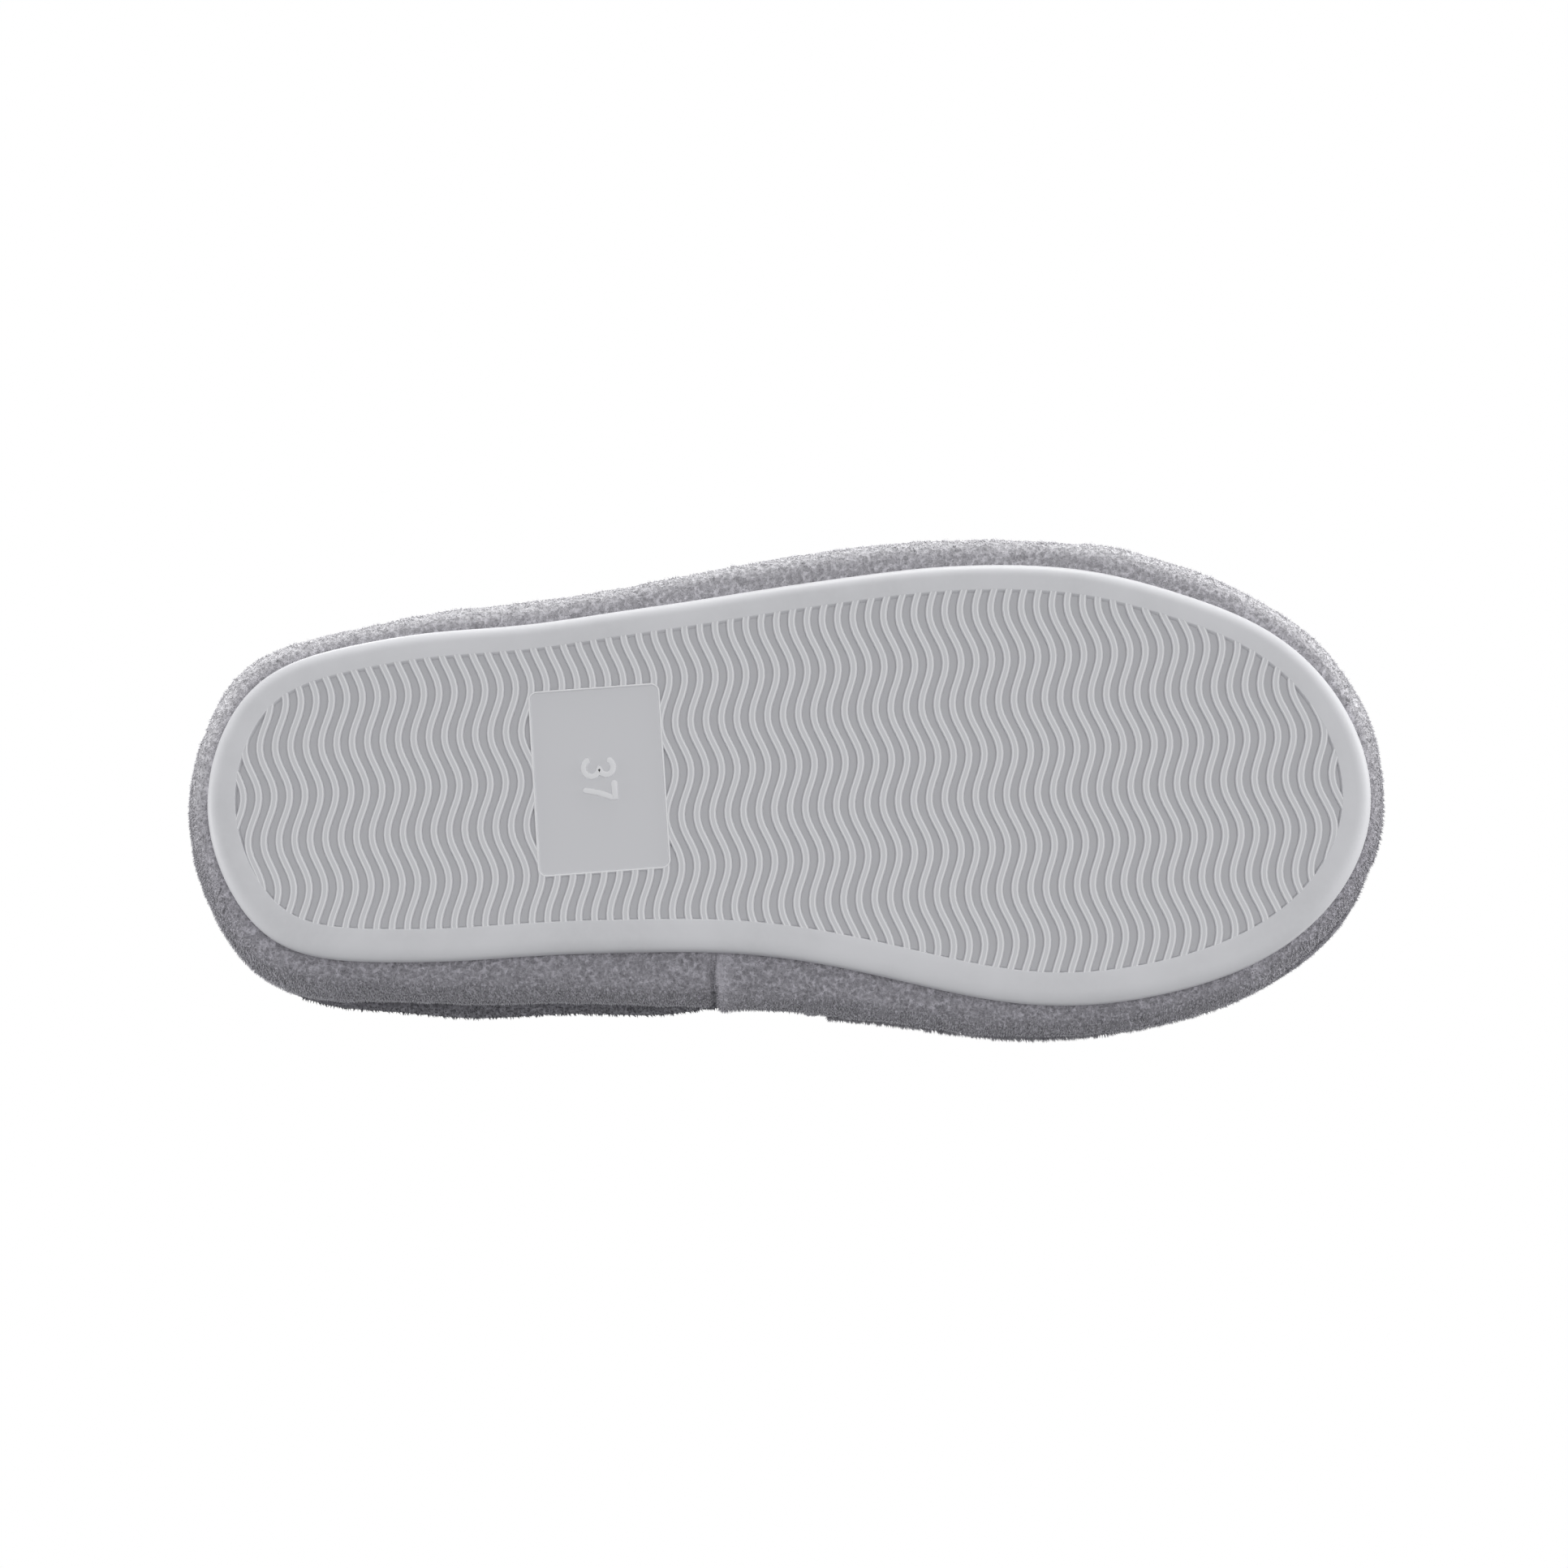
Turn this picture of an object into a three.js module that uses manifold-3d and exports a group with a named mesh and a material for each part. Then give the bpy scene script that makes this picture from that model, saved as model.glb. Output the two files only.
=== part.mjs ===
// A closed-toe, open-back spa slipper for the right foot, in millimetres.
// The toe points along -Y, the heel along +Y, the foot's inner (medial) side is +X, and +Z is up.
// The tread stands on z = 0. Layers from the ground up: rubber outsole, felt filler, foam wedge wrapped
// in a fleece band, fibre insole board, foam footbed with its fleece cover, and a three-layer vamp.
import * as THREE from 'three';
import { mergeVertices } from 'three/addons/utils/BufferGeometryUtils.js';
import Module from 'manifold-3d';

const wasm = await Module();
wasm.setup();

// ---- driving dimensions -------------------------------------------------------------------------
const SOLE_LENGTH = 247.4; // rubber sole, toe tip to heel end
const BALL_WIDTH = 97.8; // rubber sole across the ball
const HEEL_WIDTH = 71.6; // rubber sole across the heel
const BALL_SHIFT = 2.9; // how far the forefoot swings to the inner side
const HEEL_SHIFT = -3.5; // how far the heel sits to the outer side
const CLEARANCE = 0.3; // gap between pieces that touch

const SOLE_THICKNESS = 5; // rubber, border face to its top
const RIM_RADIUS = 3; // rounding of the rubber's lower edge
const BORDER_WIDTH = 6.4; // smooth margin round the tread field
const GROOVE_DEPTH = 1;
const RIB_PITCH = 3.29; // rib to rib, along the foot
const GROOVE_WIDTH = 1.85;
const WAVE_LENGTH = 20.7; // crest to crest of a rib, across the foot
const WAVE_HEIGHT = 1.36; // how far a rib swings each way
const WAVE_CREST = -5.8; // where a crest that points to the toe lies, across the foot
const PLATE_LENGTH = 27.4; // size plate, along the foot
const PLATE_WIDTH = 40; // size plate, across the foot
const PLATE_CORNER = 1.7;
const PLATE_BACK = 39.3; // plate centre behind the middle of the sole
const PLATE_ACROSS = -4.8; // plate centre across the foot
const PLATE_RECESS = 0.4; // plate face above the ground, and the height of its digits
const DIGIT_HEIGHT = 7.6;
const DIGIT_WIDTH = 5;
const DIGIT_GAP = 0.4;
const DIGIT_STROKE = 1.2;

const HEEL_PLATFORM = 27; // top edge of the wrap above the ground, at the heel
const TOE_PLATFORM = 16.5; // the same at the toe
const WEDGE_START = -95; // the wedge falls from here, along the foot
const WEDGE_END = 45; // to here
const WRAP_THICKNESS = 2.6; // fleece with its backing
const TURN = 2.4; // rounding where the wrap turns in under the platform
const SIDE_FROM = 0.35; // the wrap's side is widest from this share of its height
const SIDE_TO = 0.7; // to this share
const WRAP_MARGIN = 9; // how far the wrap is turned in under the platform
const END_OVERHANG = 3.3; // wrap beyond the rubber at toe and heel
const SIDE_OVERHANG = 5.2; // wrap beyond the rubber along the sides
const WAIST_INNER = 3.8; // extra over the waist's hollow on the inner side
const WAIST_OUTER = 2.6; // extra at the waist on the outer side
const WAIST_AT = -14; // where the waist is, along the foot
const WAIST_SPREAD = 44; // how far that extra reaches
const FOREFOOT_SKEW = 1.4; // forefoot of the wrap sits this much to the outer side
const FOREFOOT_OUTER = 1; // extra on the outer side of the forefoot
const TOP_INSET = 0.5; // wrap's top edge inside its widest line
const LAP_AT = -18; // lap seam on the inner side, along the foot

const FILLER_THICKNESS = 1.8;
const BOARD_THICKNESS = 1.5;
const FOOTBED_HEIGHT = 10.6; // footbed top above the wrap's top edge
const COVER_THICKNESS = 1.6;
const EDGE_ROUND = 3; // rounding of the footbed's upper edge
const FOOTBED_DISH = 1.6; // hollow of the footbed's middle
const DISH_SLOPE = 12; // width of the slope down into that hollow
const HEEL_TUCK = 2.6; // footbed inside the wrap's top edge at the heel
const VAMP_LEAN = 1.6; // how far the vamp leans in over the footbed's height
const TUCK_START = -24; // footbed steps in for the vamp from here
const TUCK_END = -1; // to here

const VAMP_START = 5; // rear corner of the vamp, along the foot
const THROAT_SWEEP = 9; // crown of the throat ahead of its corners
const VAMP_HEIGHT = 55; // crown of the vamp above the wrap's top edge
const VAMP_INSET = 0.4; // vamp's foot inside the wrap's top edge
const OUTER_THICKNESS = 1.8; // vamp fleece
const FOAM_THICKNESS = 2.4; // vamp sponge
const LINING_THICKNESS = 1.3; // vamp lining
const ARCH_FULLNESS = 1.95; // 2 is an ellipse, more is squarer
const BINDING_RADIUS = 3.3;
const THREAD_RADIUS = 0.4;
const STITCH_SETBACK = 6; // thread row ahead of the throat edge

const RING_POINTS = 72;
const ARCH_POINTS = 24;
const ARCH_STATIONS = 17;
const TOE_STEP = 0.3; // where the vamp's toe reads its middle, behind the tip

const HALF_LENGTH = SOLE_LENGTH / 2;
const WRAP_FOOT = SOLE_THICKNESS + CLEARANCE;
const TURN_INSIDE = TURN * 0.4; // the turn inside the wrap, which the foam core follows
const UPPER_FOOT = 2 * CLEARANCE + 2 * THREAD_RADIUS; // footbed cover and vamp above the wrap's edge
const VAMP_LAYERS = OUTER_THICKNESS + FOAM_THICKNESS + LINING_THICKNESS + 2 * CLEARANCE;

// ---- small helpers ------------------------------------------------------------------------------
const mix = (a, b, t) => a + (b - a) * t;
const ease = (from, to, value) => THREE.MathUtils.smoothstep(value, from, to);
const bell = (value, middle, spread) => Math.exp(-(((value - middle) / spread) ** 2));

// A place on the foot: along is toe-ward, across is to the inner side.
const place = (along, across, height) => new THREE.Vector3(across, -along, height);

// ---- the outline of the rubber sole -------------------------------------------------------------
// Each point is [share of the half length, share of the half width], in a zone of its own width.
function solePoints() {
  const zones = {
    ball: { half: BALL_WIDTH / 2, shift: BALL_SHIFT },
    heel: { half: HEEL_WIDTH / 2, shift: HEEL_SHIFT },
  };
  const innerBall = [[1, 0.06], [0.95, 0.52], [0.8, 0.84], [0.6, 0.98], [0.42, 0.99], [0.24, 0.89]];
  const innerHeel = [[0.06, 1.2], [-0.13, 1.07], [-0.4, 1.01], [-0.72, 0.97], [-0.9, 0.79]];
  const outerHeel = [[-1, 0], [-0.91, -0.76], [-0.72, -0.98], [-0.4, -1.03], [-0.1, -1.11]];
  const outerBall = [[0.13, -0.99], [0.32, -1.005], [0.52, -0.955], [0.74, -0.765], [0.91, -0.47]];
  const inZone = (points, { half, shift }) =>
    points.map(([along, across]) => [along * HALF_LENGTH, shift + across * half]);
  return [
    ...inZone(innerBall, zones.ball),
    ...inZone(innerHeel, zones.heel),
    ...inZone(outerHeel, zones.heel),
    ...inZone(outerBall, zones.ball),
  ];
}

// The outline as evenly spaced points with their outward directions, from the toe round the inner side.
function makeOutline() {
  const knots = solePoints().map(([along, across]) => place(along, across, 0));
  const curve = new THREE.CatmullRomCurve3(knots, true, 'centripetal');
  curve.arcLengthDivisions = 1200;
  return Array.from({ length: RING_POINTS }, (_, i) => {
    const share = i / RING_POINTS;
    const point = curve.getPointAt(share);
    const tangent = curve.getTangentAt(share);
    return { point, normal: new THREE.Vector3(tangent.y, -tangent.x, 0).normalize(), tangent };
  });
}
const outline = makeOutline();

// ---- sizes that change along the foot -----------------------------------------------------------
const platformTop = (along) =>
  mix(HEEL_PLATFORM, TOE_PLATFORM, ease(WEDGE_START, WEDGE_END, along));

function overhang({ point, normal }) {
  const along = -point.y;
  const side = Math.abs(normal.x);
  const outer = normal.x < 0 ? FOREFOOT_OUTER * side * ease(-HALF_LENGTH / 4, HALF_LENGTH / 4, along) : 0;
  const skew = outer - FOREFOOT_SKEW * normal.x * ease(0, HALF_LENGTH / 2, along);
  const waist = (normal.x > 0 ? WAIST_INNER : WAIST_OUTER) * bell(along, WAIST_AT, WAIST_SPREAD);
  return mix(END_OVERHANG, SIDE_OVERHANG + waist, side ** 1.2) + skew;
}
const wrapEdge = (spot) => overhang(spot) - TOP_INSET;

function footbedEdge(spot) {
  const along = -spot.point.y;
  const heel = HEEL_TUCK * (1 - ease(-HALF_LENGTH * 0.9, -HALF_LENGTH * 0.6, along));
  const front = (VAMP_INSET + VAMP_LAYERS + VAMP_LEAN) * ease(TUCK_START, TUCK_END, along);
  return wrapEdge(spot) - CLEARANCE - heel - front;
}

// ---- building solids ----------------------------------------------------------------------------
function geometryFrom(points, triangles) {
  const geometry = new THREE.BufferGeometry();
  geometry.setAttribute('position', new THREE.Float32BufferAttribute(points.flatMap((p) => p.toArray()), 3));
  geometry.setIndex(triangles);
  return geometry;
}

// One ring of the outline, moved out by offset(spot) and lifted to height(along).
function ring(offset, height) {
  return outline.map((spot) => {
    const moved = spot.point.clone().addScaledVector(spot.normal, offset(spot));
    return place(-moved.y, moved.x, height(-spot.point.y));
  });
}

// A solid from stacked rings. The first ring is closed by a face that looks down, the last by one
// that looks up. Both faces run across the foot from one side to the other.
function stackRings(rings) {
  const count = rings[0].length;
  const triangles = [];
  for (let r = 0; r + 1 < rings.length; r += 1) {
    for (let i = 0; i < count; i += 1) {
      const a = r * count + i;
      const b = r * count + ((i + 1) % count);
      triangles.push(a, b, b + count, a, b + count, a + count);
    }
  }
  const last = (rings.length - 1) * count;
  for (let i = 0; i < count / 2; i += 1) {
    const inner = [i, i + 1];
    const outer = [(count - i) % count, count - i - 1];
    if (i > 0) {
      triangles.push(inner[0], outer[0], inner[1]);
      triangles.push(last + inner[0], last + inner[1], last + outer[0]);
    }
    if (i < count / 2 - 1) {
      triangles.push(inner[1], outer[0], outer[1]);
      triangles.push(last + inner[1], last + outer[1], last + outer[0]);
    }
  }
  return geometryFrom(rings.flat(), triangles);
}

// A solid from cross-sections that follow each other; each section is a closed loop of points.
function joinSections(sections, loopFlat, closed = false) {
  const count = sections[0].length;
  const triangles = [];
  const steps = closed ? sections.length : sections.length - 1;
  for (let s = 0; s < steps; s += 1) {
    for (let i = 0; i < count; i += 1) {
      const a = s * count + i;
      const b = s * count + ((i + 1) % count);
      const c = ((s + 1) % sections.length) * count + ((i + 1) % count);
      const d = ((s + 1) % sections.length) * count + i;
      triangles.push(a, c, b, a, d, c);
    }
  }
  if (!closed) {
    const last = (sections.length - 1) * count;
    for (const [a, b, c] of THREE.ShapeUtils.triangulateShape(loopFlat, [])) {
      triangles.push(a, b, c);
      triangles.push(last + a, last + c, last + b);
    }
  }
  return geometryFrom(sections.flat(), triangles);
}

// A tube of one radius along a list of points.
function tube(points, radius, sides, steps) {
  const path = new THREE.CatmullRomCurve3(points, false, 'centripetal');
  const round = new THREE.Shape().absarc(0, 0, radius, 0, 2 * Math.PI);
  const section = new THREE.Shape(round.getSpacedPoints(sides).slice(0, sides));
  const geometry = new THREE.ExtrudeGeometry(section, { steps, extrudePath: path, curveSegments: 1 });
  return merged(geometry);
}

function merged(geometry) {
  const bare = geometry.clone();
  bare.deleteAttribute('normal');
  bare.deleteAttribute('uv');
  return mergeVertices(bare, 1e-4);
}

// ---- joins and cuts -----------------------------------------------------------------------------
function toSolid(geometry) {
  const bare = merged(geometry.index ? geometry : geometry.clone());
  return new wasm.Manifold(new wasm.Mesh({
    numProp: 3,
    vertProperties: new Float32Array(bare.attributes.position.array),
    triVerts: new Uint32Array(bare.index.array),
  }));
}

function fromSolid(solid) {
  const mesh = solid.getMesh();
  const geometry = new THREE.BufferGeometry();
  geometry.setAttribute('position', new THREE.BufferAttribute(new Float32Array(mesh.vertProperties), 3));
  geometry.setIndex(new THREE.BufferAttribute(new Uint32Array(mesh.triVerts), 1));
  return geometry;
}

const joinAll = (solids) => solids.reduce((whole, solid) => whole.add(solid));

// A flat shape drawn as (across, along), standing from one height to another.
function prism(shape, bottom, top) {
  const geometry = new THREE.ExtrudeGeometry(shape, { depth: top - bottom, bevelEnabled: false });
  geometry.applyMatrix4(new THREE.Matrix4().makeRotationX(Math.PI));
  geometry.translate(0, 0, top);
  return toSolid(geometry);
}

// ---- outsole ------------------------------------------------------------------------------------
function grooves() {
  const reach = BALL_WIDTH;
  const quarter = WAVE_LENGTH / 4;
  const steps = Math.ceil(reach / quarter);
  const swing = (across) => WAVE_HEIGHT * Math.cos((2 * Math.PI * (across - WAVE_CREST)) / WAVE_LENGTH);
  const rows = Math.floor(HALF_LENGTH / RIB_PITCH);
  const cuts = [];
  for (let row = -rows; row <= rows; row += 1) {
    const side = (half) => Array.from({ length: 2 * steps + 1 }, (_, i) => {
      const across = WAVE_CREST + (i - steps) * quarter;
      return new THREE.Vector2(across, row * RIB_PITCH + half * GROOVE_WIDTH / 2 + swing(across));
    }).filter((_, i) => i % 2 === steps % 2);
    cuts.push(prism(new THREE.Shape([...side(-1), ...side(1).reverse()]), -1, GROOVE_DEPTH));
  }
  return joinAll(cuts);
}

function roundedPlate(grow) {
  const halfWidth = PLATE_WIDTH / 2 + grow;
  const halfLength = PLATE_LENGTH / 2 + grow;
  const shape = new THREE.Shape();
  const corners = [[1, 1, 0], [-1, 1, 1], [-1, -1, 2], [1, -1, 3]];
  for (const [side, end, quarter] of corners) {
    const x = PLATE_ACROSS + side * (halfWidth - PLATE_CORNER);
    const y = -PLATE_BACK + end * (halfLength - PLATE_CORNER);
    shape.absarc(x, y, PLATE_CORNER, (quarter * Math.PI) / 2, ((quarter + 1) * Math.PI) / 2);
  }
  return new THREE.Shape(shape.getPoints(3));
}

// Plain digits of even strokes. Their tops point to the toe, and they read towards the inner side
// when seen from underneath. right is the reading direction and up the digit's own upward one.
function digits() {
  const half = DIGIT_STROKE / 2;
  const bowl = (DIGIT_HEIGHT + DIGIT_STROKE) / 4;
  const left = PLATE_ACROSS - DIGIT_WIDTH - DIGIT_GAP / 2;
  const foot = -PLATE_BACK - DIGIT_HEIGHT / 2;
  const arc = (x, y, from, to) => {
    const shape = new THREE.Shape();
    shape.absarc(x, y, bowl, from, to, false);
    shape.absarc(x, y, bowl - DIGIT_STROKE, to, from, true);
    return new THREE.Shape(shape.getPoints(8));
  };
  const bar = (ax, ay, bx, by) => {
    const across = new THREE.Vector2(by - ay, ax - bx).setLength(half);
    return new THREE.Shape([[ax, ay, 1], [bx, by, 1], [bx, by, -1], [ax, ay, -1]]
      .map(([x, y, s]) => new THREE.Vector2(x + s * across.x, y + s * across.y)));
  };
  const threeX = left + DIGIT_WIDTH - bowl;
  const sevenX = left + DIGIT_WIDTH + DIGIT_GAP;
  const head = foot + DIGIT_HEIGHT;
  const strokes = [
    arc(threeX, head - bowl, -Math.PI / 2, Math.PI * 0.85),
    arc(threeX, foot + bowl, -Math.PI * 0.85, Math.PI / 2),
    bar(sevenX, head - half, sevenX + DIGIT_WIDTH, head - half),
    bar(sevenX + DIGIT_WIDTH - half, head - half, sevenX + DIGIT_WIDTH * 0.35, foot),
  ];
  return joinAll(strokes.map((stroke) => prism(stroke, 0, PLATE_RECESS + CLEARANCE)));
}

function outsole() {
  const lift = (height) => () => height;
  const corner = [0, 30, 60, 90].map((degrees) => THREE.MathUtils.degToRad(degrees));
  const rim = corner.map((angle) => ring(
    () => -RIM_RADIUS * (1 - Math.sin(angle)),
    lift(RIM_RADIUS * (1 - Math.cos(angle))),
  ));
  const slab = toSolid(stackRings([...rim, ring(() => 0, lift(SOLE_THICKNESS))]));
  const field = toSolid(stackRings([-1, GROOVE_DEPTH + 1].map((z) => ring(() => -BORDER_WIDTH, lift(z)))));
  const plate = prism(roundedPlate(0), -2, GROOVE_DEPTH + 2);
  const sunk = prism(roundedPlate(-DIGIT_STROKE / 2), -1, PLATE_RECESS);
  return fromSolid(slab.subtract(grooves().intersect(field).subtract(plate)).subtract(sunk).add(digits()));
}

// ---- platform -----------------------------------------------------------------------------------
// The wrap's section as [out from the rubber's edge, height], lower margin first.
function wrapSection(spot) {
  const wide = overhang(spot);
  const top = platformTop(-spot.point.y);
  const edge = wrapEdge(spot);
  const rise = top - WRAP_FOOT;
  const thick = WRAP_THICKNESS;
  const margin = FILLER_THICKNESS - CLEARANCE;
  const [low, high] = [SIDE_FROM, SIDE_TO].map((share) => WRAP_FOOT + rise * share);
  return [
    [-WRAP_MARGIN, WRAP_FOOT], [wide - TURN, WRAP_FOOT], [wide - TURN / 4, WRAP_FOOT + TURN / 2],
    [wide, low], [wide, high], [edge, top],
    [edge - thick, top], [wide - thick, high], [wide - thick, low],
    [wide - thick - TURN_INSIDE, WRAP_FOOT + margin], [-WRAP_MARGIN, WRAP_FOOT + margin],
  ];
}

function lapIndex() {
  const distance = outline.map(({ point }) => (point.x > 0 ? Math.abs(-point.y - LAP_AT) : Infinity));
  return distance.indexOf(Math.min(...distance));
}

function platformWrap() {
  const start = lapIndex();
  const spots = Array.from({ length: RING_POINTS + 1 }, (_, i) => outline[(start + i) % RING_POINTS]);
  const sections = spots.map((spot, i) => {
    const slide = i === 0 ? CLEARANCE / 2 : i === RING_POINTS ? -CLEARANCE / 2 : 0;
    return wrapSection(spot).map(([out, height]) => spot.point.clone()
      .addScaledVector(spot.normal, out)
      .addScaledVector(spot.tangent, slide)
      .setZ(height));
  });
  const flat = wrapSection(spots[0]).map(([out, height]) => new THREE.Vector2(out, height));
  return joinSections(sections, flat);
}

function bottomFiller() {
  const heights = [WRAP_FOOT, WRAP_FOOT + FILLER_THICKNESS - CLEARANCE];
  return stackRings(heights.map((z) => ring(() => -WRAP_MARGIN - CLEARANCE, () => z)));
}

function platformCore() {
  const bottom = WRAP_FOOT + FILLER_THICKNESS;
  const gap = WRAP_THICKNESS + CLEARANCE;
  const share = (amount) => (along) => WRAP_FOOT + (platformTop(along) - WRAP_FOOT) * amount;
  const top = (along) => platformTop(along) - BOARD_THICKNESS - CLEARANCE;
  return stackRings([
    ring((spot) => overhang(spot) - gap - TURN_INSIDE, () => bottom),
    ring((spot) => overhang(spot) - gap, share(SIDE_FROM)),
    ring((spot) => overhang(spot) - gap, share(SIDE_TO)),
    ring((spot) => wrapEdge(spot) - gap, top),
  ]);
}

function insoleBoard() {
  const edge = (spot) => wrapEdge(spot) - WRAP_THICKNESS - CLEARANCE;
  return stackRings([-BOARD_THICKNESS, 0].map(
    (shift) => ring(edge, (along) => platformTop(along) + shift),
  ));
}

// ---- footbed ------------------------------------------------------------------------------------
// Rings of the footbed's skin, sunk by inset inside its outer face.
function footbedRings(inset, foot) {
  const top = (drop) => (along) => platformTop(along) + FOOTBED_HEIGHT - inset - drop;
  const edge = (out) => (spot) => footbedEdge(spot) - inset - out;
  return [
    ring(edge(0), (along) => platformTop(along) + foot),
    ring(edge(0), top(EDGE_ROUND)),
    ring(edge(EDGE_ROUND * 0.3), top(EDGE_ROUND * 0.3)),
    ring(edge(EDGE_ROUND), top(0)),
    ring(edge(EDGE_ROUND + DISH_SLOPE), top(FOOTBED_DISH)),
  ];
}

const footbedFoam = () => stackRings(footbedRings(COVER_THICKNESS + CLEARANCE, CLEARANCE));

function footbedCover() {
  const inside = footbedRings(COVER_THICKNESS, UPPER_FOOT).reverse();
  return stackRings([...inside, ...footbedRings(0, UPPER_FOOT)]);
}

// ---- vamp ---------------------------------------------------------------------------------------
// How far the wrap's top edge, moved in by inset, reaches to one side at a place along the foot.
function edgeReach(inset, along, side) {
  const points = ring((spot) => wrapEdge(spot) - inset, () => 0);
  let reach = 0;
  for (let i = 0; i < points.length; i += 1) {
    const a = points[i];
    const b = points[(i + 1) % points.length];
    const share = (-along - a.y) / (b.y - a.y);
    if (share >= 0 && share < 1) {
      const across = mix(a.x, b.x, share);
      reach = side > 0 ? Math.max(reach, across) : Math.min(reach, across);
    }
  }
  return reach;
}

const toeReach = (inset) => Math.max(...ring((spot) => wrapEdge(spot) - inset, () => 0).map((p) => -p.y));

// Points of one arch of the vamp, from the outer side over the crown to the inner side.
// turn runs from 0 at the throat to a quarter turn at the toe.
function vampArch(inset, turn, ahead = 0) {
  const toe = toeReach(VAMP_INSET + inset);
  const points = [];
  for (let i = 0; i <= ARCH_POINTS; i += 1) {
    const lean = Math.PI * (1 - i / ARCH_POINTS);
    const throat = VAMP_START + ahead + THROAT_SWEEP * Math.sin(lean) ** 2;
    const along = mix(throat, toe - 0.02, Math.sin(turn));
    const share = (along - VAMP_START) / (toe - VAMP_START);
    const crown = (VAMP_HEIGHT - inset) * (1 - Math.max(share, 0) ** 2.7) ** (1 / 2.2);
    const outer = edgeReach(VAMP_INSET + inset, along, -1);
    const inner = edgeReach(VAMP_INSET + inset, along, 1);
    const bend = (value) => Math.sign(value) * Math.abs(value) ** (2 / ARCH_FULLNESS);
    const across = (inner + outer) / 2 + ((inner - outer) / 2) * bend(Math.cos(lean));
    const height = platformTop(along) + UPPER_FOOT + crown * Math.max(bend(Math.sin(lean)), 0);
    points.push(place(along, across, height));
  }
  return points;
}

// A vamp layer between two insets: its outer skin, its inner skin and the edges that join them.
function vampLayer(inset, thickness) {
  const turns = Array.from({ length: ARCH_STATIONS }, (_, i) => (i / (ARCH_STATIONS - 1)) * (Math.PI / 2));
  const skin = (depth) => turns.slice(0, -1).map((turn) => vampArch(depth, turn));
  const skins = [skin(inset), skin(inset + thickness)];
  const width = ARCH_POINTS + 1;
  const points = skins.flat(2);
  const perSkin = (turns.length - 1) * width;
  const poles = [inset, inset + thickness].map((depth) => {
    const toe = toeReach(VAMP_INSET + depth);
    const sides = [1, -1].map((side) => edgeReach(VAMP_INSET + depth, toe - TOE_STEP, side));
    return points.push(place(toe, (sides[0] + sides[1]) / 2, platformTop(toe) + UPPER_FOOT)) - 1;
  });
  const triangles = [];
  const quad = (a, b, c, d) => triangles.push(a, b, c, a, c, d);
  const at = (layer, station, i) => (station === turns.length - 1
    ? poles[layer]
    : layer * perSkin + station * width + i);
  const face = (a, b, c, d) => {
    if (c === d) triangles.push(a, b, c);
    else quad(a, b, c, d);
  };
  for (let station = 0; station + 1 < turns.length; station += 1) {
    for (let i = 0; i < ARCH_POINTS; i += 1) {
      face(at(0, station, i + 1), at(0, station, i), at(0, station + 1, i), at(0, station + 1, i + 1));
      face(at(1, station, i), at(1, station, i + 1), at(1, station + 1, i + 1), at(1, station + 1, i));
    }
    quad(at(0, station, 0), at(1, station, 0), at(1, station + 1, 0), at(0, station + 1, 0));
    const end = ARCH_POINTS;
    quad(at(1, station, end), at(0, station, end), at(0, station + 1, end), at(1, station + 1, end));
  }
  for (let i = 0; i < ARCH_POINTS; i += 1) quad(at(0, 0, i), at(0, 0, i + 1), at(1, 0, i + 1), at(1, 0, i));
  return geometryFrom(points, triangles);
}

function throatBinding() {
  const middle = vampArch(VAMP_LAYERS / 2, 0, -BINDING_RADIUS - CLEARANCE);
  for (const end of [middle[0], middle[middle.length - 1]]) end.z += CLEARANCE;
  return tube(middle, BINDING_RADIUS, 10, 34);
}

function throatStitching() {
  const row = vampArch(-THREAD_RADIUS - 2 * CLEARANCE, 0, STITCH_SETBACK);
  return tube(row.slice(1, -1), THREAD_RADIUS, 6, 40);
}

function featherSeam() {
  const height = (along) => platformTop(along) + CLEARANCE + THREAD_RADIUS;
  const sides = 6;
  const centres = ring((spot) => wrapEdge(spot) - WRAP_THICKNESS / 2, height);
  const sections = centres.map((centre, i) => Array.from({ length: sides }, (_, k) => {
    const angle = (2 * Math.PI * k) / sides;
    return centre.clone()
      .addScaledVector(outline[i].normal, THREAD_RADIUS * Math.cos(angle))
      .add(new THREE.Vector3(0, 0, THREAD_RADIUS * Math.sin(angle)));
  }));
  return joinSections(sections, [], true);
}

function lapSeamThread() {
  const spot = outline[lapIndex()];
  const rows = wrapSection(spot).slice(2, 5);
  const points = rows.map(([out, height]) => spot.point.clone()
    .addScaledVector(spot.normal, out + THREAD_RADIUS + CLEARANCE)
    .setZ(height));
  return tube(points, THREAD_RADIUS, 6, 10);
}

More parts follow.
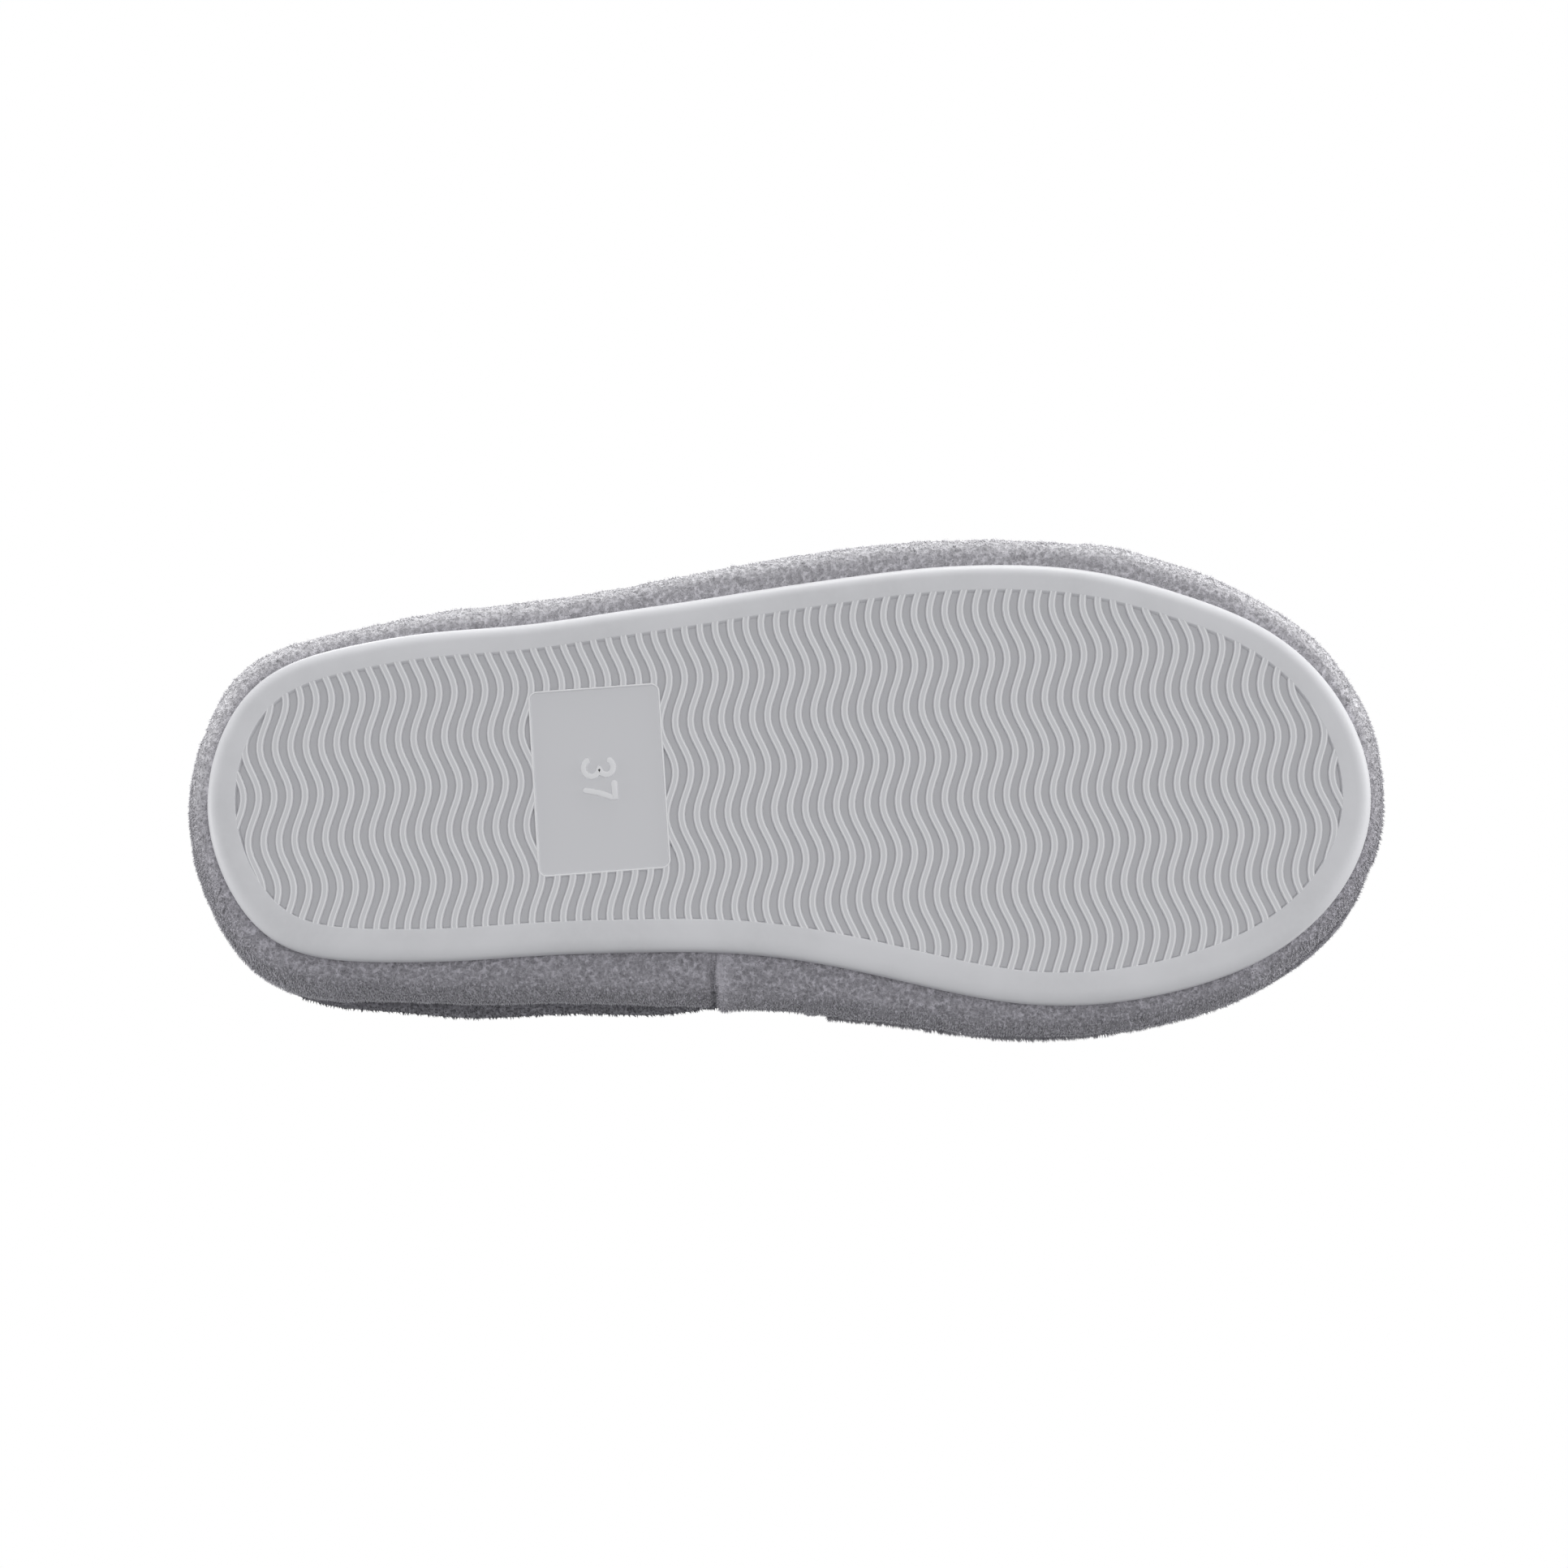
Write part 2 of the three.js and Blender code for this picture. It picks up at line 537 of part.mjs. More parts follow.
// ---- assembly -----------------------------------------------------------------------------------
const finish = (color, roughness) => new THREE.MeshStandardMaterial({ color, roughness, metalness: 0 });
const PIECES = [
  ['outsole', outsole, finish(0xbebec0, 0.55)],
  ['bottom_filler', bottomFiller, finish(0x8d8a84, 0.95)],
  ['platform_core', platformCore, finish(0xe4e2dc, 0.85)],
  ['platform_wrap', platformWrap, finish(0x8f8b94, 0.95)],
  ['insole_board', insoleBoard, finish(0xb49c78, 0.9)],
  ['footbed_foam', footbedFoam, finish(0xd8d4c4, 0.9)],
  ['footbed_cover', footbedCover, finish(0x807c86, 0.95)],
  ['vamp_outer', () => vampLayer(0, OUTER_THICKNESS), finish(0x8f8b94, 0.95)],
  ['vamp_foam', () => vampLayer(OUTER_THICKNESS + CLEARANCE, FOAM_THICKNESS), finish(0xe0dccc, 0.9)],
  ['vamp_lining', () => vampLayer(VAMP_LAYERS - LINING_THICKNESS, LINING_THICKNESS), finish(0x807c86, 0.95)],
  ['throat_binding', throatBinding, finish(0x86828c, 0.95)],
  ['throat_stitching', throatStitching, finish(0x9a96a0, 0.8)],
  ['feather_seam_thread', featherSeam, finish(0x77737d, 0.8)],
  ['lap_seam_thread', lapSeamThread, finish(0x77737d, 0.8)],
];

const slipper = new THREE.Group();
for (const [name, build, material] of PIECES) {
  const mesh = new THREE.Mesh(build(), material);
  mesh.name = name;
  slipper.add(mesh);
}

// The origin is on the ground under the middle of the slipper.
const middle = new THREE.Box3().setFromObject(slipper).getCenter(new THREE.Vector3());
slipper.position.set(-middle.x, -middle.y, 0);

export default slipper;
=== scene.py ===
"""A closed-toe, open-back spa slipper for the right foot, seen from underneath.

The toe points along -Y, the heel along +Y, the foot's inner side is +X and the ground is z = 0.
Every size is in metres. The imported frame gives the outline, the platform's heights and the skins that
the visible pieces follow; the classes below add what the finished slipper shows: the wavy tread, the
fleece and its pile, the lapped seam, the padded footbed and the stitching.
"""

import logging
import math
from dataclasses import dataclass, field
from enum import Enum
from typing import Any, Callable, Iterable, Optional, Sequence, Union

import bmesh
import bpy
import numpy as np
from mathutils import Matrix, Vector, noise
from mathutils.bvhtree import BVHTree


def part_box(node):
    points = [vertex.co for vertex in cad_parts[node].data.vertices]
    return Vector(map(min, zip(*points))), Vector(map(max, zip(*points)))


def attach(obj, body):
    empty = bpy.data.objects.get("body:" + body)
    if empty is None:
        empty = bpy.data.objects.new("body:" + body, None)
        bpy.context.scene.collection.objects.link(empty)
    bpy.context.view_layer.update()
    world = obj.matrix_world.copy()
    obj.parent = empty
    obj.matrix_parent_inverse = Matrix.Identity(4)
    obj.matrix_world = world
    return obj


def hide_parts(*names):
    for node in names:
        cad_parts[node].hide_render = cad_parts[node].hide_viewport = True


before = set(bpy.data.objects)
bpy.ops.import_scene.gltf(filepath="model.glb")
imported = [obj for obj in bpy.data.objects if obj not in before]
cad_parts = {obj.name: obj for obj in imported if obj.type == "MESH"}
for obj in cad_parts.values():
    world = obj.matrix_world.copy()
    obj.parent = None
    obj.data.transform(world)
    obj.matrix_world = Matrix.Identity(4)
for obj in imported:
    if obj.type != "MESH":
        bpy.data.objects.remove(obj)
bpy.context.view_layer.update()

LOG = logging.getLogger("slipper")
MM = 0.001
BODY = "root"
Array = np.ndarray
Rgb = tuple[float, float, float]
LumpLayers = Sequence[tuple[float, float, float]]


class Slot(Enum):
    """The material slots of the visible pieces."""

    SOLE = "sole_rubber"
    WRAP = "wrap_fleece"
    FOOTBED = "footbed_fleece"
    TOE = "vamp_fleece"
    BINDING = "binding_fleece"
    THREAD = "thread"


class Side(Enum):
    """A side of the foot, as the sign of its x."""

    OUTER = -1
    INNER = 1


# ---- node graphs ---------------------------------------------------------------------------------
class Wire:
    """One output socket that takes part in arithmetic, each operator adding a Math node."""

    def __init__(self, graph: "Graph", socket: bpy.types.NodeSocket) -> None:
        """Wraps a socket.

        Args:
            graph: The graph that owns the socket.
            socket: The output socket.
        """
        self.graph = graph
        self.socket = socket

    def _math(self, operation: str, *others: Any, first: Any = None) -> "Wire":
        """Adds one Math node.

        Args:
            operation: The node's operation, such as MULTIPLY.
            others: What follows this value in the node's inputs.
            first: What comes before this value, for the reflected operators.

        Returns:
            The result.
        """
        values = [self, *others] if first is None else [first, self, *others]
        node = self.graph.add("ShaderNodeMath", {"operation": operation}, dict(enumerate(values)))
        return self.graph.wire(node, 0)

    def __add__(self, other: Any) -> "Wire":
        """This value plus other."""
        return self._math("ADD", other)

    def __radd__(self, other: Any) -> "Wire":
        """Other plus this value."""
        return self._math("ADD", first=other)

    def __sub__(self, other: Any) -> "Wire":
        """This value minus other."""
        return self._math("SUBTRACT", other)

    def __rsub__(self, other: Any) -> "Wire":
        """Other minus this value."""
        return self._math("SUBTRACT", first=other)

    def __mul__(self, other: Any) -> "Wire":
        """This value times other."""
        return self._math("MULTIPLY", other)

    def __rmul__(self, other: Any) -> "Wire":
        """Other times this value."""
        return self._math("MULTIPLY", first=other)

    def __truediv__(self, other: Any) -> "Wire":
        """This value divided by other."""
        return self._math("DIVIDE", other)

    def __rtruediv__(self, other: Any) -> "Wire":
        """Other divided by this value."""
        return self._math("DIVIDE", first=other)

    def cos(self) -> "Wire":
        """The cosine of this value."""
        return self._math("COSINE")

    def at_least(self, low: Union[float, "Wire"]) -> "Wire":
        """This value, or low where it is smaller."""
        return self._math("MAXIMUM", low)

    def at_most(self, high: float) -> "Wire":
        """This value, or high where it is larger."""
        return self._math("MINIMUM", high)


class Graph:
    """A shader or geometry tree that is written as code."""

    def __init__(self, tree: bpy.types.NodeTree) -> None:
        """Takes over a tree and empties it.

        Args:
            tree: The tree to build in.
        """
        self.tree = tree
        tree.nodes.clear()

    def add(self, kind: str, settings: Optional[dict] = None,
            inputs: Optional[dict] = None) -> bpy.types.Node:
        """Adds a node.

        Args:
            kind: The node's type.
            settings: The node's own properties, set first.
            inputs: A value or a wire for each socket, by name or index.

        Returns:
            The node.
        """
        node = self.tree.nodes.new(kind)
        for name, value in (settings or {}).items():
            setattr(node, name, value)
        for key, value in (inputs or {}).items():
            self.feed(node, key, value)
        return node

    def feed(self, node: bpy.types.Node, key: Union[str, int], value: Any) -> None:
        """Gives one input its value or its link.

        Args:
            node: The node.
            key: The input's name, or its place among the inputs.
            value: A wire, a node, which stands for its first output, or a plain value.
        """
        socket = node.inputs[key] if isinstance(key, int) else self.named(node.inputs, key)
        if isinstance(value, Wire):
            self.tree.links.new(value.socket, socket)
        elif isinstance(value, bpy.types.Node):
            self.tree.links.new(value.outputs[0], socket)
        else:
            socket.default_value = value

    @staticmethod
    def named(sockets: Iterable[bpy.types.NodeSocket], name: str) -> bpy.types.NodeSocket:
        """The enabled socket of that name."""
        return next(s for s in sockets if s.name == name and s.enabled)

    def wire(self, node: bpy.types.Node, key: Union[str, int] = 0) -> Wire:
        """One of a node's outputs.

        Args:
            node: The node.
            key: The output's name, or its place among the outputs.

        Returns:
            The output as a wire.
        """
        socket = node.outputs[key] if isinstance(key, int) else self.named(node.outputs, key)
        return Wire(self, socket)

    def mix(self, factor: Any, low: Any, high: Any) -> Wire:
        """A colour between two colours.

        Args:
            factor: 0 gives low, 1 gives high.
            low: The first colour.
            high: The second colour.

        Returns:
            The mixed colour.
        """
        node = self.add("ShaderNodeMix", {"data_type": "RGBA"}, {"Factor": factor, "A": low, "B": high})
        return self.wire(node, 2)

    def xyz(self, **parts: Any) -> Wire:
        """A vector from its X, Y and Z; a part that isn't given is 0."""
        return self.wire(self.add("ShaderNodeCombineXYZ", None, parts))

    def vector(self, operation: str, *values: Any) -> Wire:
        """One Vector Math node.

        Args:
            operation: The node's operation.
            values: Its inputs, in order; a number goes to the Scale input.

        Returns:
            The resulting vector.
        """
        node = self.add("ShaderNodeVectorMath", {"operation": operation})
        for place, value in enumerate(values):
            self.feed(node, "Scale" if operation == "SCALE" and place == 1 else place, value)
        return self.wire(node, 0)


class ShaderGraph(Graph):
    """A material's node tree."""

    def __init__(self, name: str) -> None:
        """Makes an empty material.

        Args:
            name: The material's name.
        """
        self.material = bpy.data.materials.new(name)
        self.material.use_nodes = True
        super().__init__(self.material.node_tree)
        self.place = self.wire(self.add("ShaderNodeTexCoord"), "Object")

    def noise(self, grain: float, detail: float = 2.0, stretch: Sequence[float] = (1, 1, 1)) -> Wire:
        """Soft noise in the piece's own space.

        Args:
            grain: The size of its patches, in metres.
            detail: How many finer layers it has.
            stretch: How much longer the patches are along each axis.

        Returns:
            A value near 0.5 that varies over the surface.
        """
        scale = [1 / (grain * s) for s in stretch]
        mapping = self.add("ShaderNodeMapping", None, {"Vector": self.place, "Scale": scale})
        texture = self.add("ShaderNodeTexNoise", None, {
            "Vector": mapping, "Scale": 1.0, "Detail": detail, "Roughness": 0.6})
        return self.factor(texture)

    def factor(self, texture: bpy.types.Node) -> Wire:
        """A texture's value, under either of its names."""
        return self.wire(texture, "Factor" if "Factor" in texture.outputs else "Fac")

    def attribute(self, name: str) -> Wire:
        """A number that is stored at the piece's points."""
        return self.wire(self.add("ShaderNodeAttribute", {"attribute_name": name}), "Fac")

    def height_of(self, vector: Any) -> Wire:
        """The Z of a vector."""
        return self.wire(self.add("ShaderNodeSeparateXYZ", None, {"Vector": vector}), "Z")

    def ramp(self, value: Wire, low: float, high: float) -> Wire:
        """The value stretched so that low becomes 0 and high becomes 1, smoothly.

        Args:
            value: The value.
            low: Where the result leaves 0.
            high: Where it reaches 1.

        Returns:
            A value from 0 to 1.
        """
        node = self.add("ShaderNodeMapRange", {"interpolation_type": "SMOOTHSTEP"}, {
            "Value": value, "From Min": low, "From Max": high})
        return self.wire(node)

    def bump(self, height: Wire, depth: float, below: Optional[Wire] = None) -> Wire:
        """A bumped normal.

        Args:
            height: The height, from 0 to 1.
            depth: How deep the bumps are, in metres.
            below: Another bump under this one.

        Returns:
            The normal.
        """
        inputs = {"Height": height, "Distance": depth, "Strength": 1.0}
        if below is not None:
            inputs["Normal"] = below
        return self.wire(self.add("ShaderNodeBump", None, inputs))

    def finish(self, **inputs: Any) -> bpy.types.Material:
        """Ends the tree in a Principled shader.

        Args:
            inputs: The shader's inputs, with underscores for spaces.

        Returns:
            The material.
        """
        named = {key.replace("_", " "): value for key, value in inputs.items()}
        shader = self.add("ShaderNodeBsdfPrincipled", None, named)
        self.add("ShaderNodeOutputMaterial", None, {"Surface": shader})
        return self.material


def rgba(colour: Rgb, gain: float = 1.0) -> tuple[float, float, float, float]:
    """A colour with its alpha, made lighter or darker by gain."""
    return (colour[0] * gain, colour[1] * gain, colour[2] * gain, 1.0)


# ---- finishes ------------------------------------------------------------------------------------
@dataclass(frozen=True)
class MouldedRubber:
    """Light-grey rubber: matt and faintly clouded; darker between the ribs, which is painted shade, and paler
    on the rib edges and the raised number, which is painted highlight.
    """

    slot: Slot = Slot.SOLE
    colour: Rgb = (0.675, 0.675, 0.695)
    roughness: float = 0.52
    roughness_swing: float = 0.12
    cloud: float = 0.05
    cloud_size: float = 28 * MM
    speck: float = 0.25
    speck_gain: float = 1.06
    speck_size: float = 1.6 * MM
    grain: float = 0.35 * MM
    grain_depth: float = 0.01 * MM
    rib_gain: float = 0.99
    highlight_colour: Rgb = (0.88, 0.88, 0.89)
    highlight_low: float = 0.03 * MM
    highlight_high: float = 0.075 * MM
    digit_highlight_share: float = 0.6
    groove_shade_colour: Rgb = (0.55, 0.55, 0.568)

    def make(self) -> bpy.types.Material:
        """Builds the material.

        Returns:
            The material; it reads the attributes that mark the ribs and plate, the raised number and the
            groove floor (pocket), which place its painted highlights and painted shade.
        """
        graph = ShaderGraph(self.slot.value)
        cloud = graph.ramp(graph.noise(self.cloud_size, 3), 0.3, 0.7)
        speck = graph.ramp(graph.noise(self.speck_size, 2), 0.35, 0.75)
        tone = graph.mix(cloud, rgba(self.colour, 1 - self.cloud), rgba(self.colour, 1 + self.cloud))
        tone = graph.mix(speck * self.speck, tone, rgba(self.colour, self.speck_gain))
        on_rib_or_plate = graph.attribute("wear")
        # A paler grey on the ribs' and the plate's edges, the parts nearest z = 0: a painted highlight.
        edge = (1 - graph.ramp(graph.height_of(graph.place), self.highlight_low, self.highlight_high)) * on_rib_or_plate
        tone = graph.mix(on_rib_or_plate, tone, rgba(self.colour, self.rib_gain))
        # The groove floors (pocket) take a darker grey: painted shade in the recesses between the ribs.
        tone = graph.mix(graph.attribute("pocket"), tone, rgba(self.groove_shade_colour))
        # The raised number is mixed towards the same pale grey: a painted highlight on its strokes.
        pale = (edge + graph.attribute("raised") * self.digit_highlight_share).at_most(1.0)
        tone = graph.mix(pale, tone, rgba(self.highlight_colour))
        rough = self.roughness + self.roughness_swing * (cloud - 0.5)
        return graph.finish(Base_Color=tone, Roughness=rough, Specular_IOR_Level=0.35,
                            Normal=graph.bump(graph.noise(self.grain, 3), self.grain_depth))


@dataclass(frozen=True)
class Fleece:
    """Coral fleece: soft clumped pile that is lighter at its tips and streaked along its nap; where a piece
    marks it, the colour also carries a painted rim light.
    """

    name: str = "wrap_fleece"
    colour: Rgb = (0.40, 0.388, 0.424)
    depth_tone: float = 0.5
    tip_tone: float = 1.4
    clump: float = 1.1 * MM
    streak: Sequence[float] = (1.0, 1.0, 12.0)
    streak_most: float = 0.8
    patch: float = 0.35
    patch_tone: float = 1.12
    patch_size: float = 3 * MM
    flange_share: float = 0.75
    rim_light_colour: Rgb = (0.97, 0.96, 0.98)
    rim_light_least: float = 0.35
    relief: float = 0.5 * MM
    fine: float = 0.35
    sheen: float = 0.35
    sheen_colour: Rgb = (0.93, 0.92, 0.97)
    root_tone: float = 1.0

    def make(self) -> bpy.types.Material:
        """Builds the material.

        Returns:
            The material; it reads the attributes flange, the painted rim light's share and, on pile, tip.
        """
        graph = ShaderGraph(self.name)
        facing = graph.height_of(graph.wire(graph.add("ShaderNodeNewGeometry"), "Normal"))
        curls = graph.ramp(graph.noise(self.clump, 3), 0.32, 0.68)
        hairs = graph.ramp(graph.noise(self.clump * 0.5, 2, self.streak), 0.38, 0.62)
        level = 1 - self.streak_most + graph.ramp(facing * facing, 0.15, 0.8) * (2 * self.streak_most - 1)
        clump = curls * level + hairs * (1 - level)
        patch = graph.ramp(graph.noise(self.patch_size, 2, self.streak), 0.3, 0.7)
        tone = graph.mix(clump, rgba(self.colour, self.depth_tone), rgba(self.colour, self.tip_tone))
        tone = graph.mix(patch * self.patch, tone, rgba(self.colour, self.patch_tone))
        flange = graph.attribute("flange") * self.flange_share
        tone = graph.mix(flange, tone, rgba(self.colour, self.tip_tone))
        # Mixes towards near white where the piece marks a painted rim light: the glow of the outer side and
        # ends under the lamps, stronger on the clumps.
        frost = graph.attribute("frost") * (self.rim_light_least + (1 - self.rim_light_least) * clump)
        tone = graph.mix(frost, tone, rgba(self.rim_light_colour))
        if self.root_tone < 1:
            tone = graph.mix(graph.attribute("tip"), graph.vector("SCALE", tone, self.root_tone), tone)
        fine = graph.bump(graph.noise(self.clump * self.fine, 2, self.streak), self.relief * self.fine)
        return graph.finish(Base_Color=tone, Roughness=0.92, Specular_IOR_Level=0.1,
                            Sheen_Weight=self.sheen, Sheen_Roughness=0.45, Sheen_Tint=rgba(self.sheen_colour),
                            Normal=graph.bump(clump, self.relief, fine))


@dataclass(frozen=True)
class CellFoam:
    """Foam with fine closed or open cells."""

    name: str
    colour: Rgb
    cell: float = 0.6 * MM
    relief: float = 0.12 * MM
    pit_tone: float = 0.7
    patch_tone: float = 0.93
    patch_size: float = 12 * MM

    def make(self) -> bpy.types.Material:
        """Builds the material.

        Returns:
            The material.
        """
        graph = ShaderGraph(self.name)
        cells = graph.add("ShaderNodeTexVoronoi", None, {"Vector": graph.place, "Scale": 1 / self.cell})
        pits = graph.wire(cells, "Distance")
        patch = graph.ramp(graph.noise(self.patch_size, 2), 0.3, 0.7)
        tone = graph.mix(patch, rgba(self.colour, self.patch_tone), rgba(self.colour))
        tone = graph.mix(graph.ramp(pits, 0.5, 0.9), tone, rgba(self.colour, self.pit_tone))
        return graph.finish(Base_Color=tone, Roughness=0.88, Normal=graph.bump(pits, self.relief))


@dataclass(frozen=True)
class PressedFibre:
    """Felt or fibre board: short fibres pressed flat, in two tones."""

    name: str
    colour: Rgb
    fibre: float = 0.5 * MM
    stretch: float = 5.0
    relief: float = 0.1 * MM

    def make(self) -> bpy.types.Material:
        """Builds the material.

        Returns:
            The material.
        """
        graph = ShaderGraph(self.name)
        long = graph.ramp(graph.noise(self.fibre, 3, (self.stretch, 1, 1)), 0.35, 0.65)
        cross = graph.ramp(graph.noise(self.fibre, 3, (1, self.stretch, 1)), 0.35, 0.65)
        felted = long * 0.5 + cross * 0.5
        tone = graph.mix(felted, rgba(self.colour, 0.75), rgba(self.colour, 1.2))
        return graph.finish(Base_Color=tone, Roughness=0.93, Normal=graph.bump(felted, self.relief))


@dataclass(frozen=True)
class TwistedThread:
    """Polyester thread with a visible twist."""

    name: str = "thread"
    colour: Rgb = (0.21, 0.20, 0.235)
    twist: float = 12 * MM
    relief: float = 0.08 * MM

    def make(self) -> bpy.types.Material:
        """Builds the material.

        Returns:
            The material.
        """
        graph = ShaderGraph(self.name)
        ply = graph.factor(graph.add("ShaderNodeTexWave", {"bands_direction": "DIAGONAL"}, {
            "Vector": graph.place, "Scale": 1 / self.twist, "Distortion": 1.5, "Detail": 1.0}))
        tone = graph.mix(ply, rgba(self.colour, 0.7), rgba(self.colour, 1.25))
        return graph.finish(Base_Color=tone, Roughness=0.6, Sheen_Weight=0.2,
                            Normal=graph.bump(ply, self.relief))


# ---- reading the frame ---------------------------------------------------------------------------
def smooth_loop(samples: Array, count: int, waves: int) -> Array:
    """Values round a closed loop, resampled smoothly.

    Args:
        samples: Evenly spaced values, one row each.
        count: How many values to return.
        waves: How many waves round the loop to keep.

    Returns:
        The resampled values.
    """
    spectrum = np.fft.rfft(samples, axis=0)
    spectrum[waves:] = 0
    padded = np.zeros((count // 2 + 1, *spectrum.shape[1:]), complex)
    keep = min(waves, len(spectrum))
    padded[:keep] = spectrum[:keep]
    return np.fft.irfft(padded, count, axis=0) * (count / len(samples))


def node_points(name: str) -> Array:
    """The distinct points of a frame piece, in metres.

    Args:
        name: The piece's node.

    Returns:
        One row for each point.
    """
    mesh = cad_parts[name].data
    points = np.zeros(len(mesh.vertices) * 3, np.float32)
    mesh.vertices.foreach_get("co", points)
    return np.unique(np.round(points.reshape(-1, 3), 6), axis=0)


class Skin:
    """The outer skin of a frame piece, found by looking at it from outside."""

    def __init__(self, name: str) -> None:
        """Reads the piece.

        Args:
            name: The piece's node.
        """
        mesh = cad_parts[name].data
        corners = [tuple(v.co) for v in mesh.vertices]
        faces = [tuple(p.vertices) for p in mesh.polygons]
        self.tree = BVHTree.FromPolygons(corners, faces)

    def hit(self, start: Sequence[float], direction: Sequence[float]) -> Optional[Vector]:
        """Where a look from start along direction meets the skin, or None."""
        return self.tree.ray_cast(Vector(start), Vector(direction))[0]


class Last:
    """The slipper's outline and heights, read from the frame."""

    STATIONS = 72
    WAVES = 17
    LOOK_FROM = 0.03
    LIKELY = 0.02
    EDGE_BELOW = 0.3 * MM

    def __init__(self) -> None:
        """Reads the rubber's edge and the platform's upper edge."""
        sole = node_points("outsole")
        ring = sole[sole[:, 2] > sole[:, 2].max() - 1e-5][:, :2]
        order = np.argsort(np.arctan2(ring[:, 1], ring[:, 0]))
        self.knots = ring[order]
        self.sole_top = float(sole[:, 2].max())
        board, (low, high) = Skin("insole_board"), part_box("insole_board")
        places = np.linspace(low.y + MM, high.y - MM, self.STATIONS)
        looks = [board.hit(((low.x + high.x) / 2, y, high.z + MM), (0, 0, -1)) for y in places]
        self.top_line = (places, np.array([spot.z for spot in looks]))

    def top(self, y: Array) -> Array:
        """The height of the wrap's upper edge at places along the foot."""
        return np.interp(y, *self.top_line)

    def outline(self, count: int) -> tuple[Array, Array]:
        """The rubber's edge.

        Args:
            count: How many points to return.

        Returns:
            The points and their outward directions, in the ground plane.
        """
        points = smooth_loop(self.knots, count, self.WAVES)
        return points, self.outward(points)

    @staticmethod
    def outward(points: Array) -> Array:
        """The outward directions of a closed, counter-clockwise loop.

        Args:
            points: The loop's points.

        Returns:
            One unit vector for each point.
        """
        along = np.roll(points, -1, axis=0) - np.roll(points, 1, axis=0)
        normals = np.stack([along[:, 1], -along[:, 0]], axis=1)
        return normals / np.linalg.norm(normals, axis=1, keepdims=True)

    def reach(self, skin: Skin, height: Callable[[Array], Array], count: int) -> Array:
        """How far a skin stands out from the rubber's edge.

        Args:
            skin: The skin.
            height: Gives the height to look at for places along the foot.
            count: How many values to return.

        Returns:
            The distances, evenly spaced round the outline.
        """
        points = smooth_loop(self.knots, self.STATIONS, self.WAVES)
        normals = self.outward(points)
        levels = height(points[:, 1])
        found = []
        for point, normal, level in zip(points, normals, levels):
            start = (*(point + normal * self.LOOK_FROM), level)
            hit = skin.hit(start, (-normal[0], -normal[1], 0))
            found.append(np.dot(np.array(hit[:2]) - point, normal) if hit else np.nan)
        found = np.array(found)
        bad = ~(np.abs(found) < self.LIKELY)
        found[bad] = np.interp(np.flatnonzero(bad), np.flatnonzero(~bad), found[~bad])
        return smooth_loop(found[:, None], count, self.WAVES)[:, 0]

    def wrap_edge(self, count: int) -> Array:
        """How far the wrap's upper edge stands out from the rubber's edge, at count places."""
        return self.reach(Skin("platform_wrap"), lambda y: self.top(y) - self.EDGE_BELOW, count)


# ---- making pieces -------------------------------------------------------------------------------
def placed(name: str, content: Any) -> bpy.types.Object:
    """Puts a mesh, a lamp or a camera into the scene as an object.

    Args:
        name: The object's name.
        content: Its data.

    Returns:
        The object, at the origin.
    """
    piece = bpy.data.objects.new(name, content)
    bpy.context.scene.collection.objects.link(piece)
    return piece


def round_off(piece: bpy.types.Object) -> None:
    """Shades all of a piece's faces smooth."""
    piece.data.polygons.foreach_set("use_smooth", [True] * len(piece.data.polygons))


def new_object(name: str, points: Array, faces: Iterable[Sequence[int]]) -> bpy.types.Object:
    """Makes a smooth mesh object at the origin.

    Args:
        name: The piece's name.
        points: Its points, in metres.
        faces: The points of each face.

    Returns:
        The object.
    """
    mesh = bpy.data.meshes.new(name)
    mesh.from_pydata([tuple(p) for p in np.asarray(points, float)], [], [tuple(f) for f in faces])
    mesh.update()
    piece = placed(name, mesh)
    round_off(piece)
    return piece


def new_path(name: str, points: Array, closed: bool = False) -> bpy.types.Object:
    """Makes an object of edges only, for a tree to turn into a curve.

    Args:
        name: The object's name.
        points: Its points, in order.
        closed: Whether the last point joins the first.

    Returns:
        The object.
    """
    mesh, size = bpy.data.meshes.new(name), len(points)
    edges = [(i, (i + 1) % size) for i in range(size if closed else size - 1)]
    mesh.from_pydata([tuple(p) for p in points], edges, [])
    return placed(name, mesh)


def stack(outline: Array, normals: Array, rows: Iterable[tuple[Any, Any]]) -> Array:
    """Rings that follow an outline.

    Args:
        outline: The outline's points in the ground plane.
        normals: Their outward directions.
        rows: How far out and how far up each ring is, as numbers or one for each point.

    Returns:
        The rings' points.
    """
    size = len(outline)
    return np.array([np.column_stack([outline + normals * np.broadcast_to(out, size)[:, None],
                                      np.broadcast_to(up, size)]) for out, up in rows])


def tube_faces(count: int, size: int, first: int = 0) -> list[tuple[int, ...]]:
    """Faces of a tube with flat ends.

    Args:
        count: How many rings it has.
        size: How many points each ring has.
        first: The index of its first point.

    Returns:
        The faces.
    """
    last = first + (count - 1) * size
    faces = [(a + i, a + (i + 1) % size, a + size + (i + 1) % size, a + size + i)
             for a in range(first, last, size) for i in range(size)]
    return [*faces, tuple(range(first, first + size))[::-1], tuple(range(last, last + size))]


